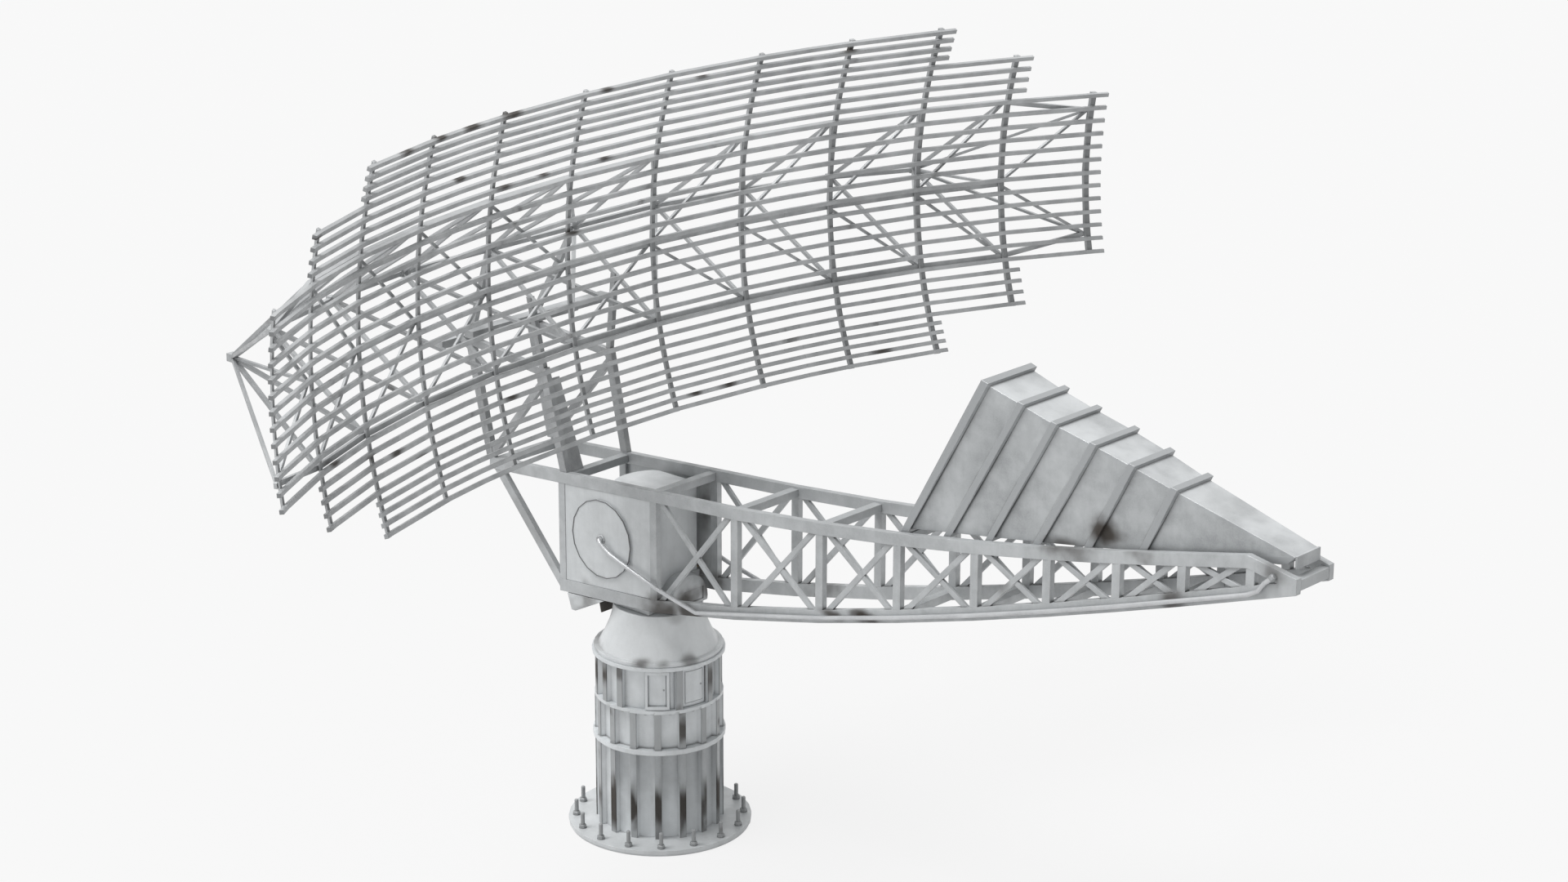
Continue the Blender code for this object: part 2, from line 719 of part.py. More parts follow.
def build_king_tube(parent):
    foot = deck_top + 2 * RUN
    seat = gear_z - GAP
    step = KING_R + 0.020
    tube = turned([(KING_BORE_R, foot), (KING_R, foot), (KING_R, seat - DECK_T),
                   (step, seat - DECK_T), (step, seat), (KING_R, seat),
                   (KING_R, cone_top - BEARING_H - BEARING_LIP),
                   (BEARING_BORE_R - RUN, cone_top - BEARING_H),
                   (BEARING_BORE_R - RUN, turntable_foot), (KING_TOP_R, turntable_foot),
                   (KING_TOP_R, turntable_top), (KING_BORE_R, turntable_top)], KING_STEPS)
    piece("king_tube", tube, "gear_steel", parent, round_angle=30)
    outline = gear_outline(GEAR_TEETH, azimuth_module, AZIMUTH_BACKLASH,
                           math.radians(DRIVE_ANGLE), mid_points=False)
    wheel = slab(outline, "z", gear_z, gear_z + AZIMUTH_FACE)
    bore = rod(KING_R + GAP, gear_z - AZIMUTH_FACE, gear_z + 2 * AZIMUTH_FACE, KING_STEPS)
    piece("bull_gear", cut(wheel, [bore]), "gear_steel", parent)
    profile = [(KING_R + GAP, ring_level(-0.4)), (SLIP_RING_R - BRUSH_ARM, ring_level(-0.4))]
    for k in range(SLIP_RINGS):
        level = ring_level(k)
        profile += [(SLIP_RING_R - BRUSH_ARM, level), (SLIP_RING_R, level),
                    (SLIP_RING_R, level + BRUSH_ARM), (SLIP_RING_R - BRUSH_ARM,
                                                       level + BRUSH_ARM)]
    end = ring_level(SLIP_RINGS - 0.4)
    profile += [(SLIP_RING_R - BRUSH_ARM, end), (KING_R + GAP, end)]
    piece("slip_ring_drum", turned(profile, KING_STEPS), "bronze", parent, round_angle=30)


def head_outline(grow=0.0):
    points = []
    for k in range(HEAD_STEPS):
        angle = 2 * math.pi * k / HEAD_STEPS
        x = min((HEAD_R + grow) * math.cos(angle), HEAD_FRONT)
        y = (HEAD_R + grow) * math.sin(angle)
        y = max(-HEAD_NEAR - grow, min(HEAD_FAR + grow, y))
        points.append((x, y))
    tidy_points = []
    for point in points:
        if not tidy_points or math.dist(point, tidy_points[-1]) > 0.004:
            tidy_points.append(point)
    return tidy_points


def build_head(parent):
    body = slab(head_outline(), "z", skirt_foot, head_top)
    centre = (TRUNNION_X, trunnion_z)
    bore = JOURNAL_R + 4 * RUN
    near = rod(bore, -HEAD_NEAR - POCKET_DEPTH, -HEAD_NEAR + POCKET_DEPTH, 24, centre, "y")
    far = rod(bore, HEAD_FAR - POCKET_DEPTH, HEAD_FAR + POCKET_DEPTH, 24, centre, "y")
    seat = rod(KING_TOP_R + GAP, skirt_foot - KING_TOP_T, head_foot, KING_STEPS)
    piece("head_housing", cut(body, [near, far, seat]), "pale_paint", parent, round_angle=30)
    low = -HEAD_NEAR - RUN * 8
    for name, face, outer in (("trunnion_bearing_near", -HEAD_NEAR - GAP, low),
                              ("trunnion_bearing_far", HEAD_FAR + GAP,
                               HEAD_FAR + RUN * 5)):
        collar = rod(BEARING_COLLAR_R, min(face, outer), max(face, outer), 24, centre, "y")
        hole = rod(JOURNAL_R + RUN, min(face, outer) - 0.1, max(face, outer) + 0.1, 24,
                   centre, "y")
        piece(name, cut(collar, [hole]), "gear_steel", parent, round_angle=30)


def build_gearbox(parent):
    # round drum on the head's front, and a flat case that reaches round the head's corner
    axis_z = turntable_top + GEARBOX_Z
    rings = []
    for x, radius in ((HEAD_FRONT + GAP, GEARBOX_R),
                      (GEARBOX_FRONT - GEARBOX_ROUNDING, GEARBOX_R),
                      (GEARBOX_FRONT - GEARBOX_ROUNDING * 0.3,
                       GEARBOX_R - GEARBOX_ROUNDING * 0.3),
                      (GEARBOX_FRONT, GEARBOX_R - GEARBOX_ROUNDING)):
        rings.append([(x, GEARBOX_Y + radius * math.cos(math.pi * k / 16),
                       axis_z + radius * math.sin(math.pi * k / 16)) for k in range(32)])
    drum = loft(rings)
    floor = box((0.0, -HEAD_R, head_foot - HEAD_R), (2 * HEAD_R, HEAD_R, head_foot))
    edge = GEARBOX_Y - GEARBOX_R * 0.28
    panel = box((GEARBOX_FRONT - CASE_WALL, edge, axis_z - GEARBOX_R * 0.06),
                (GEARBOX_FRONT + HEAD_R, edge + GEARBOX_R * 0.98, axis_z + GEARBOX_R * 0.42))
    x, z = elevation_spot
    case_low = HEAD_FAR + GAP
    case = box((x - CASE_HALF_W, case_low, z - CASE_HALF_W),
               (HEAD_FRONT + CASE_WALL * 3, case_low + CASE_WALL, z + CASE_HALF_W / 2))
    foot = box((HEAD_FRONT + GAP, GEARBOX_Y, axis_z),
               (HEAD_FRONT + CASE_WALL * 3, case_low + CASE_WALL, z + CASE_HALF_W / 2))
    shaft = rod(SHAFT_R * 2, case_low + CASE_WALL / 2, pinion_low - RUN, 16, (x, z), "y")
    journal = rod(SHAFT_R, case_low + CASE_WALL / 2, pinion_low + SECTOR_FACE, 12, (x, z), "y")
    mesh = cut(joined([drum, foot, case, shaft, journal]), [floor, panel])
    piece("elevation_gearbox", mesh, "pale_paint", parent, round_angle=30)


def build_drip_tray(parent):
    # plate on an arm behind the head, over the bearing's rear edge
    low, high = TRAY_EDGES
    foot = turntable_top - TRAY_DROP
    arm_top = head_foot + CHORD_H
    outline = [(low + TRAY_SLANT, foot), (high, foot), (high, arm_top), (low, arm_top)]
    plate = slab(outline, "x", TRAY_X, TRAY_X + TRAY_T)
    arm = box((TRAY_X + TRAY_T / 2, low, head_foot), (-HEAD_R / 2, high, arm_top))
    head = slab(head_outline(GAP), "z", 0.0, head_top)
    piece("head_rear_tray", cut(joined([plate, arm]), [head]), "pale_paint", parent)


# ---------------------------------------------------------------- elevation drive

sector_pitch = SECTOR_MODULE * GEAR_TEETH / 2
elevation_pitch = SECTOR_MODULE * PINION_TEETH / 2
elevation_spot = (TRUNNION_X + (sector_pitch + elevation_pitch) * math.cos(DRIVE_SLOPE),
                  trunnion_z + (sector_pitch + elevation_pitch) * math.sin(DRIVE_SLOPE))
plate_inner = BOOM_HALF_WIDTH - PLATE_INSET - PLATE_T
sector_low = HEAD_FAR + RUN * 7
pinion_low = sector_low


def build_elevation_pinion(parent):
    toward = DRIVE_SLOPE + math.pi
    outline = gear_outline(PINION_TEETH, SECTOR_MODULE, SECTOR_BACKLASH,
                           toward + math.pi / PINION_TEETH)
    wheel = slab(outline, "y", pinion_low, pinion_low + SECTOR_FACE)
    bore = rod(SHAFT_R + RUN, pinion_low - 0.1, pinion_low + 0.1, 12, axis="y")
    pin = axis_empty("elevation_pinion_axis", (elevation_spot[0], 0.0, elevation_spot[1]),
                     parent)
    piece("elevation_pinion", cut(wheel, [bore]), "bronze", pin)


def build_sector(parent):
    step = 2 * math.pi / GEAR_TEETH
    count = 2 * int(SECTOR_HALF_ANGLE / step) + 1
    first = DRIVE_SLOPE - step * (count - 1) / 2
    outline = gear_outline(GEAR_TEETH, SECTOR_MODULE, SECTOR_BACKLASH, first, count, False)
    rim_r = sector_pitch - SECTOR_RIM
    for k in range(9):
        angle = first + step * (count - 1) * (1 - k / 8)
        outline.append((rim_r * math.cos(angle), rim_r * math.sin(angle)))
    rim = slab(outline, "y", sector_low, sector_low + SECTOR_FACE)
    parts = [rim]
    middle = sector_low + SECTOR_FACE / 2
    for side in (-1, 0, 1):
        angle = DRIVE_SLOPE + side * (step * (count - 1) / 2 - 0.08)
        end = (rim_r + SECTOR_RIM / 3)
        parts.append(beam((0.0, middle, 0.0),
                          (end * math.cos(angle), middle, end * math.sin(angle)),
                          SECTOR_FACE - 0.004, SECTOR_ARM * 0.7))
    parts.append(rod(SECTOR_HUB_R, sector_low, plate_inner - GAP, 24, axis="y"))
    hole = rod(JOURNAL_R + GAP * 2, sector_low - 0.1, plate_inner + 0.1, 24, axis="y")
    piece("elevation_sector", cut(joined(parts), [hole]), "gear_steel", parent,
          round_angle=30)


# ---------------------------------------------------------------- boom

stations = [BOOM_START]
for bay in BOOM_BAYS:
    stations.append(stations[-1] + bay)
nose_x = stations[-1] + NOSE_LENGTH
low_chord_drop = (LOW_CHORD_H - CHORD_H) / 2


def half_width(x):
    if x < BOOM_START:
        return BOOM_HALF_WIDTH
    run = x - 0.2
    return 0.2929 + 0.01068 * run - 0.00954 * run * run + 0.0005 * run ** 3


def top_line(x):
    # middle of the top chord above the trunnion axis
    run = x - 0.2
    start_z = 0.374 + 0.0534 * (BOOM_START - 0.2) + 0.0199 * (BOOM_START - 0.2) ** 2
    if x < BOOM_START:
        return start_z + (x - BOOM_START) * (start_z - HEEL_Z) / (BOOM_START - HEEL_X)
    return 0.374 + 0.0534 * run + 0.0199 * run * run


def bottom_line(x):
    run = max(x, BOOM_START) - 0.2
    height = -0.37414 + 0.16246 * run + 0.03054 * run * run - 0.00167 * run ** 3
    return height + HEEL_SLOPE * min(x - BOOM_START, 0.0)


def chord(side, spots, deep=CHORD_H, thick=CHORD_T):
    # a chord through (x, middle height) spots, upright sections, outer face on the width line
    rings = []
    for x, z in spots:
        outer = half_width(x)
        inner = outer - thick
        rings.append([(x, side * outer, z - deep / 2), (x, side * inner, z - deep / 2),
                      (x, side * inner, z + deep / 2), (x, side * outer, z + deep / 2)])
    return loft(rings)


def build_boom_side(name, side, parent):
    top_knee = nose_x - NOSE_TAPER
    tops = [(HEEL_X, HEEL_Z), (BOOM_START, top_line(BOOM_START))]
    tops += [(x, top_line(x)) for x in stations[1:] if x < top_knee]
    tops += [(top_knee, top_line(top_knee) - 0.006), (nose_x, NOSE_RISE)]
    lows = [(x, bottom_line(x) - low_chord_drop) for x in [PLATE_REAR_X] + stations]
    lows += [(nose_x, NOSE_RISE - 0.012)]
    parts = [chord(side, tops), chord(side, lows, LOW_CHORD_H)]
    for x in stations + [PLATE_REAR_X + POST_W / 2]:
        middle = side * (half_width(x) - CHORD_T / 2)
        parts.append(beam((x, middle, bottom_line(x)), (x, middle, top_line(x)),
                          POST_T, POST_W))
    for k in range(len(stations) - 1):
        x0 = stations[k] + POST_W / 2
        x1 = stations[k + 1] - POST_W / 2
        y0 = side * (half_width(x0) - CHORD_T / 2)
        y1 = side * (half_width(x1) - CHORD_T / 2)
        parts.append(beam((x0, y0, bottom_line(x0)), (x1, y1, top_line(x1)),
                          BRACE_T, BRACE_W))
        parts.append(beam((x0, y0, top_line(x0)), (x1, y1, bottom_line(x1)),
                          BRACE_T - 0.003, BRACE_W))
    middle = side * (half_width(HEEL_X) - CHORD_T / 2)
    parts.append(beam((HEEL_X + 0.050, middle, HEEL_Z),
                      (PLATE_REAR_X + 0.020, middle, bottom_line(PLATE_REAR_X)),
                      POST_T - 0.004, HEEL_BRACE_W))
    piece(name, joined(parts), "pale_paint", parent)


def build_side_plate(name, side, parent):
    outer = half_width(0.0) - PLATE_INSET
    rear = PLATE_REAR_X + POST_W + GAP
    front = BOOM_START - POST_W / 2 - GAP
    low = CHORD_H / 2 + 0.0012
    outline = [(rear, bottom_line(rear) + low), (front, bottom_line(front) + low),
               (front, top_line(front) - low), (rear, top_line(rear) - low)]
    faces = sorted((side * outer, side * (outer - PLATE_T)))
    plate = slab(outline, "y", faces[0], faces[1])
    hole = rod(JOURNAL_R + GAP * 2, faces[0] - 0.1, faces[1] + 0.1, 24, axis="y")
    piece(name, cut(plate, [hole]), "pale_paint", parent)


def build_trunnion_cover(name, side, parent):
    face = half_width(0.0) - PLATE_INSET + GAP
    inward = HEAD_NEAR if side < 0 else HEAD_FAR
    tip = inward - POCKET_DEPTH + RUN * 5
    parts = []
    spans = ((COVER_R, face, face + COVER_T, COVER_SIDES),
             (HUB_R, face, face + COVER_T + HUB_H, 12),
             (JOURNAL_R, tip, face + COVER_T / 2, 24))
    for radius, a, b, steps in spans:
        low, high = sorted((side * a, side * b))
        parts.append(rod(radius, low, high, steps, axis="y"))
    piece(name, joined(parts), "pale_paint", parent)


def build_ties(parent):
    number = 1
    for x in TOP_TIES + (stations[3],):
        z = top_line(x)
        name = "top_tie_%d" % number
        make_tie(name, x, z, parent)
        number += 1
    for number, x in enumerate(stations[3:8], 1):
        make_tie("bottom_tie_%d" % number, x, bottom_line(x), parent)


def make_tie(name, x, z, parent):
    reach = half_width(x + TIE_W / 2) - CHORD_T - GAP
    reach = min(reach, half_width(x - TIE_W / 2) - CHORD_T - GAP)
    shape = box((x - TIE_W / 2, -reach, z - TIE_H / 2), (x + TIE_W / 2, reach, z + TIE_H / 2))
    piece(name, shape, "pale_paint", parent)


def build_nose(parent):
    reach = half_width(nose_x) - CHORD_T - GAP
    shape = box((nose_x - TIE_W, -reach, NOSE_RISE - CHORD_H / 2),
                (nose_x, reach, NOSE_RISE + CHORD_H / 2 - 0.012))
    piece("boom_nose", shape, "pale_paint", parent)


# ---------------------------------------------------------------- horn and feed line

def horn_floor(k):
    # the floor climbs straight from its seat on the tie under the mouth
    share = (HORN_FLOOR_X[k] - HORN_FLOOR_X[0]) / (HORN_FLOOR_X[-1] - HORN_FLOOR_X[0])
    seat = top_line(stations[3]) + TIE_H / 2 + GAP + HORN_BAND
    return (HORN_FLOOR_X[k], seat + HORN_FLOOR_RISE * share)


def horn_ring(station, floor, grow):
    x, half, z = station
    fx, fz = floor
    return [(x, -half - grow, z + grow), (x, half + grow, z + grow),
            (fx, half + grow, fz - grow), (fx, -half - grow, fz - grow)]


def mixed(a, b, share):
    return tuple(p + (q - p) * share for p, q in zip(a, b))


def horn_at(x):
    # the horn's section whose top edge is at x
    for k in range(len(HORN_STATIONS) - 1):
        a = HORN_STATIONS[k]
        b = HORN_STATIONS[k + 1]
        if x <= b[0] or k == len(HORN_STATIONS) - 2:
            share = (x - a[0]) / (b[0] - a[0])
            return mixed(a, b, share), mixed(horn_floor(k), horn_floor(k + 1), share)
    return HORN_STATIONS[-1], horn_floor(-1)


def build_horn(parent):
    rings = []
    for k, station in enumerate(HORN_STATIONS[:-1]):
        length = HORN_MOUTH_BAND_L if k == 0 else HORN_BAND_L
        start = station[0]
        if k:
            rings.append(horn_ring(*horn_at(start), 0.0))
        rings.append(horn_ring(*horn_at(start), HORN_BAND))
        rings.append(horn_ring(*horn_at(start + length), HORN_BAND))
        rings.append(horn_ring(*horn_at(start + length), 0.0))
    rings.append(horn_ring(HORN_STATIONS[-1], horn_floor(-1), 0.0))
    rings.append(horn_ring(HORN_STATIONS[-1], horn_floor(-1), -HORN_WALL))
    for k in range(len(HORN_STATIONS) - 2, -1, -1):
        rings.append(horn_ring(HORN_STATIONS[k], horn_floor(k), -HORN_WALL))
    piece("feed_horn", loft(rings, closed=True), "pale_paint", parent)
    half = HORN_STATIONS[-1][1]
    z0 = horn_floor(-1)[1]
    z1 = HORN_STATIONS[-1][2]
    x0 = HORN_STATIONS[-1][0] + GAP
    throat = box((x0, -half, z0 - 0.01), (x0 + THROAT_L / 4, half, z1 + 0.008))
    piece("horn_throat", throat, "pale_paint", parent)


def pipe_route(side):
    # from the trunnion hub down the side plate, then along the outer face of the low chord
    lane = PIPE_R + PIPE_CLEARANCE
    hub = half_width(0.0) - PLATE_INSET + COVER_T + HUB_H + 2 * GAP
    route = [(0.0, side * hub, 0.0), (0.0, side * (hub + PIPE_R), 0.0)]
    for x, z in PIPE_SLOPE:
        over = HUB_H if x < HUB_R else 0.0
        route.append((x, side * (half_width(x) + COVER_T + over + lane), z))
    for x in stations[2:]:
        route.append((x, side * (half_width(x) + lane), bottom_line(x) - PIPE_DROP))
    for x, rise in PIPE_END:
        level = bottom_line(stations[-1]) + rise
        route.append((stations[-1] + x, side * (half_width(stations[-1] + x) + lane), level))
    return route


def build_feed_pipe(name, side, parent):
    route = pipe_route(side)
    curve = bpy.data.curves.new(name, "CURVE")
    curve.dimensions = "3D"
    curve.bevel_depth = PIPE_R
    curve.bevel_resolution = 2
    curve.use_fill_caps = True
    spline = curve.splines.new("POLY")
    spline.points.add(len(route) - 1)
    for point, spot in zip(spline.points, route):
        point.co = (*spot, 1.0)
    thing = bpy.data.objects.new(name, curve)
    bpy.context.scene.collection.objects.link(thing)
    thing.parent = parent
    curve.materials.append(paint(name, "lattice_paint"))


# ---------------------------------------------------------------- tower

def build_tower_side(name, side, parent):
    y = side * (TOWER_HALF_WIDTH - CHORD_T / 2)
    rear_foot = Vector((REAR_LEG_FOOT, y, top_line(REAR_LEG_FOOT)))
    front_foot = Vector((FRONT_LEG_FOOT, y, top_line(FRONT_LEG_FOOT)))
    rear_top = Vector((REAR_LEG_TOP[0], y, REAR_LEG_TOP[1]))
    front_top = Vector((FRONT_LEG_TOP[0], y + side * LEG_SPLAY, FRONT_LEG_TOP[1]))
    rear_node = mirrored(rear_point(0), side)
    web = mirrored(node_point(0, CHORD_BOTTOM_Z), side) - rear_node
    web_spot = rear_node + web * STRUT_SHARE
    low = Vector((0.0, 0.0, LEG))
    thin = LEG * 0.6
    parts = [beam(rear_foot, rear_top + low / 2, LEG * 0.72, LEG),
             beam(front_foot, front_top + low / 2, LEG * 0.7, LEG),
             beam(rear_foot + low, front_top - low, thin, LEG * 0.8),
             beam(rear_top, front_top, LEG * 0.65, LEG * 0.9),
             beam(rear_top, rear_node, thin, LEG * 0.7),
             beam(front_top, web_spot, thin - 0.002, LEG * 0.7)]
    copes = [chord(side, [(HEEL_X - 0.3, top_line(HEEL_X - 0.3) + GAP),
                          (BOOM_START, top_line(BOOM_START) + GAP)], thick=0.3)]
    for start, end in rear_legs(0, side)[:2] + rear_legs(0, -side)[2:]:
        copes.append(beam(start, end, WEB, WEB, grow=GAP))
    copes.append(rear_chord_run(0, side, 2 * GAP))
    copes.append(rear_chord_run(1, side, 2 * GAP))
    copes.append(joint_block(rear_node, GAP))
    for z, x in platform_rows():
        copes.append(platform_beam(x, z, GAP))
    piece(name, largest_part(cut(joined(parts), copes)), "pale_paint", parent)


def joint_block(spot, grow=0.0):
    # block that the webs and the rear chord are welded to
    half = JOINT_BLOCK / 2 + grow
    return box((spot[0] - half, spot[1] - half, spot[2] - half),
               (spot[0] + half, spot[1] + half, spot[2] + half))


def platform_rows():
    # heights and places of the two cross beams that the tower's arms carry
    middle = (REAR_LEG_TOP[0] + FRONT_LEG_TOP[0]) / 2
    level = (REAR_LEG_TOP[1] + FRONT_LEG_TOP[1]) / 2
    return ((level + PLATFORM_RISE, middle), (level + PLATFORM_RISE * 0.4, REAR_LEG_TOP[0] + LEG))


def platform_beam(x, z, grow=0.0):
    half = PLATFORM_W / 2 + grow
    thick = PLATFORM_H / 2 + grow
    return box((x - half, -PLATFORM_REACH - grow, z - thick),
               (x + half, PLATFORM_REACH + grow, z + thick))


def build_platform(parent):
    rows = platform_rows()
    parts = [platform_beam(x, z) for z, x in rows]
    for y in (-PLATFORM_W, PLATFORM_W):
        parts.append(beam((rows[0][1], y, rows[0][0]), (rows[1][1], y, rows[1][0]),
                          PLATFORM_H * 0.8, PLATFORM_H * 0.8))
    piece("tower_platform", joined(parts), "pale_paint", parent)


def build_duct(parent):
    # cable duct that climbs from the rear tie beside the near front leg
    foot_x = FRONT_LEG_FOOT
    foot = Vector((foot_x, DUCT_Y, top_line(foot_x) + TIE_H / 2 + GAP))
    top = Vector((FRONT_LEG_TOP[0] - 0.06, DUCT_Y, FRONT_LEG_TOP[1] - 0.08))
    duct = beam(foot - Vector((0.0, 0.0, LEG)), top, DUCT_W, DUCT_D)
    floor = box((foot_x - 0.3, -1.0, foot[2] - 0.4), (foot_x + 0.3, 1.0, foot[2]))
    piece("tower_duct", cut(duct, [floor]), "pale_paint", parent)


def build_rear_bracket(parent):
    # sloping tray under the heel of the side plates
    reach = half_width(0.0) - GAP
    z = bottom_line(PLATE_REAR_X) + CHORD_H / 2 - LOW_CHORD_H - GAP
    x0 = PLATE_REAR_X + BRACKET_SETBACK
    slope = bottom_line(0.0) - bottom_line(PLATE_REAR_X)
    rise = slope / -PLATE_REAR_X
    outline = [(x0, z), (x0 + BRACKET_NOSE, z - BRACKET_DROP),
               (x0 + BRACKET_NOSE * 2, z - BRACKET_DROP),
               (x0 + BRACKET_L, z + rise * BRACKET_L)]
    tray = slab(outline, "y", -reach, BRACKET_FAR)
    hollow = slab([(x0 + BRACKET_WALL * 2, z + 0.1),
                   (x0 + BRACKET_NOSE + BRACKET_WALL, z - BRACKET_DROP + BRACKET_WALL),
                   (x0 + BRACKET_NOSE * 2 - BRACKET_WALL, z - BRACKET_DROP + BRACKET_WALL),
                   (x0 + BRACKET_L - BRACKET_WALL * 2, z + 0.1)],
                  "y", -reach + BRACKET_WALL, BRACKET_FAR - BRACKET_WALL)
    piece("rear_bracket", cut(tray, [hollow]), "pale_paint", parent)


# ---------------------------------------------------------------- reflector

def dish(y, z):
    rise = z - APEX_Z
    return APEX_X + DISH_UP * rise * rise + DISH_ACROSS * y * y * (1 + DISH_LIP * y * y)


def on_dish(y, z):
    return Vector((dish(y, z), y, z))


def rib_normal(y, z):
    # square to the dish within the rib's own upright plane
    slope = 2 * DISH_UP * (z - APEX_Z)
    return Vector((1.0, 0.0, -slope)).normalized()


def dish_normal(y, z):
    up = 2 * DISH_UP * (z - APEX_Z)
    across = 2 * DISH_ACROSS * y * (1 + 2 * DISH_LIP * y * y)
    return Vector((1.0, -across, -up)).normalized()


rib_ys = [-y for y in reversed(RIB_Y)] + list(RIB_Y)


def lay_out_bars():
    # heights of the bars at y = 0, found outward from the centre bar
    centre_group = len(BAR_GROUPS) // 2
    count, pitch, ribs, half = BAR_GROUPS[centre_group]
    middle = (count - 1) // 2
    rows = []
    for k in range(count):
        rows.append((CENTRE_BAR_Z + (middle - k) * pitch, ribs, half))
    above = rows[0][0]
    for group in range(centre_group - 1, -1, -1):
        count, pitch, ribs, half = BAR_GROUPS[group]
        for k in range(count):
            above += pitch
            rows.insert(0, (above, ribs, half))
    below = rows[-1][0]
    for group in range(centre_group + 1, len(BAR_GROUPS)):
        count, pitch, ribs, half = BAR_GROUPS[group]
        for k in range(count):
            below -= pitch
            rows.append((below, ribs, half))
    return rows


bars = lay_out_bars()
half_count = len(RIB_Y)


def strip(first, second, faces):
    # triangles between two rows of (parameter, index)
    i = 0
    j = 0
    while i < len(first) - 1 or j < len(second) - 1:
        step_first = j == len(second) - 1
        if i < len(first) - 1 and not step_first:
            step_first = first[i + 1][0] <= second[j + 1][0]
        if step_first:
            faces.append((first[i][1], first[i + 1][1], second[j][1]))
            i += 1
        else:
            faces.append((first[i][1], second[j + 1][1], second[j][1]))
            j += 1


def lattice(rib_list, low_y, high_y):
    # bars and ribs of one section as a single skin: each bar's back face is pierced
    # where a rib's front edge meets it, and the two skins share that opening's corners
    points = []
    faces = []
    corners = {}

    def add(point):
        points.append(point)
        return len(points) - 1

    for row, (bar_z, reach, half) in enumerate(bars):
        crossed = [k for k in rib_list if abs(k - half_count + 0.5) < reach]
        if not crossed:
            continue
        start = low_y if crossed[0] > half_count - reach else -half
        end = high_y if crossed[-1] < half_count + reach - 1 else half
        edges = {"bt": [], "bb": [], "ft": [], "fb": []}

        def cross_section(y, back, front):
            z = bar_z + BAR_LIFT * y * y
            normal = dish_normal(y, z)
            spots = {}
            for key, edge_z in (("t", z + BAR_H / 2), ("b", z - BAR_H / 2)):
                base = on_dish(y, edge_z)
                if back:
                    spots["b" + key] = add(base)
                    edges["b" + key].append((y, spots["b" + key]))
                if front:
                    spots["f" + key] = add(base + normal * BAR_D)
                    edges["f" + key].append((y, spots["f" + key]))
            return spots

        first = cross_section(start, True, True)
        openings = []
        for k in crossed:
            y = rib_ys[k]
            a = cross_section(y - RIB_T / 2, True, False)
            cross_section(y, False, True)
            b = cross_section(y + RIB_T / 2, True, False)
            corners[(k, row)] = (a["bt"], b["bt"], a["bb"], b["bb"])
            openings.append(a["bt"])
        last = cross_section(end, True, True)
        for spots in (first, last):
            faces.append((spots["bt"], spots["ft"], spots["fb"], spots["bb"]))
        strip(edges["bt"], edges["ft"], faces)
        strip(edges["bb"], edges["fb"], faces)
        strip(edges["ft"], edges["fb"], faces)
        for k in range(len(edges["bt"]) - 1):
            if edges["bt"][k][1] in openings:
                continue
            faces.append((edges["bt"][k][1], edges["bt"][k + 1][1],
                          edges["bb"][k + 1][1], edges["bb"][k][1]))

    for k in rib_list:
        y = rib_ys[k]
        rows = [row for row in range(len(bars)) if (k, row) in corners]
        top = bars[rows[0]][0] + BAR_LIFT * y * y + BAR_H / 2 + RIB_OVERHANG
        foot = bars[rows[-1]][0] + BAR_LIFT * y * y - BAR_H / 2 - RIB_OVERHANG
        sides = []
        for shift, (upper, lower) in ((-RIB_T / 2, (0, 2)), (RIB_T / 2, (1, 3))):
            front = [(0.0, add(on_dish(y + shift, top)))]
            for row in rows:
                spots = corners[(k, row)]
                front.append((row + 1.0, spots[upper]))
                front.append((row + 1.5, spots[lower]))
            front.append((len(bars) + 2.0, add(on_dish(y + shift, foot))))
            back = []
            levels = [(0.0, top)]
            for row in rows[2:-2:4]:
                levels.append((row + 1.25, bars[row][0] + BAR_LIFT * y * y))
            levels.append((len(bars) + 2.0, foot))
            for share, z in levels:
                spot = on_dish(y + shift, z) - rib_normal(y, z) * RIB_D
                back.append((share, add(spot)))
            sides.append((front, back))
            strip(front, back, faces)
        (front_a, back_a), (front_b, back_b) = sides
        for i in range(0, len(front_a) - 1, 2):
            faces.append((front_a[i][1], front_a[i + 1][1], front_b[i + 1][1],
                          front_b[i][1]))
        strip(back_a, back_b, faces)
        for i in (0, -1):
            faces.append((front_a[i][1], back_a[i][1], back_b[i][1], front_b[i][1]))
    mesh = mesh_of(points, faces)
    shape = bmesh.new()
    shape.from_mesh(mesh)
    bmesh.ops.triangulate(shape, faces=shape.faces[:])
    shape.to_mesh(mesh)
    shape.free()
    return mesh


def behind_ribs(y, z):
    # middle of the backing layer at a place on the dish
    back = RIB_D + CHORD_SEAT + CHORD / 2
    level = z + BAR_LIFT * y * y
    return on_dish(y, level) - rib_normal(y, level) * back


def node_point(k, z):
    # the backing layer behind rib k, counted outward from the centre
    if k == half_count - 1:
        z += math.copysign(TIP_INSET, CHORD_MID_Z - z)
    return behind_ribs(RIB_Y[k], z)


def mirrored(point, side):
    return Vector((point[0], side * point[1], point[2]))


def rear_point(k):
    y = RIB_Y[k]
    x = max(dish(y, CENTRE_BAR_Z) - REAR_DEPTH, REAR_LIMIT_X)
    shift = REAR_TIP_SHIFT if k == half_count - 2 else 0.0
    return Vector((x + shift, y - shift, REAR_Z + BAR_LIFT * y * y))


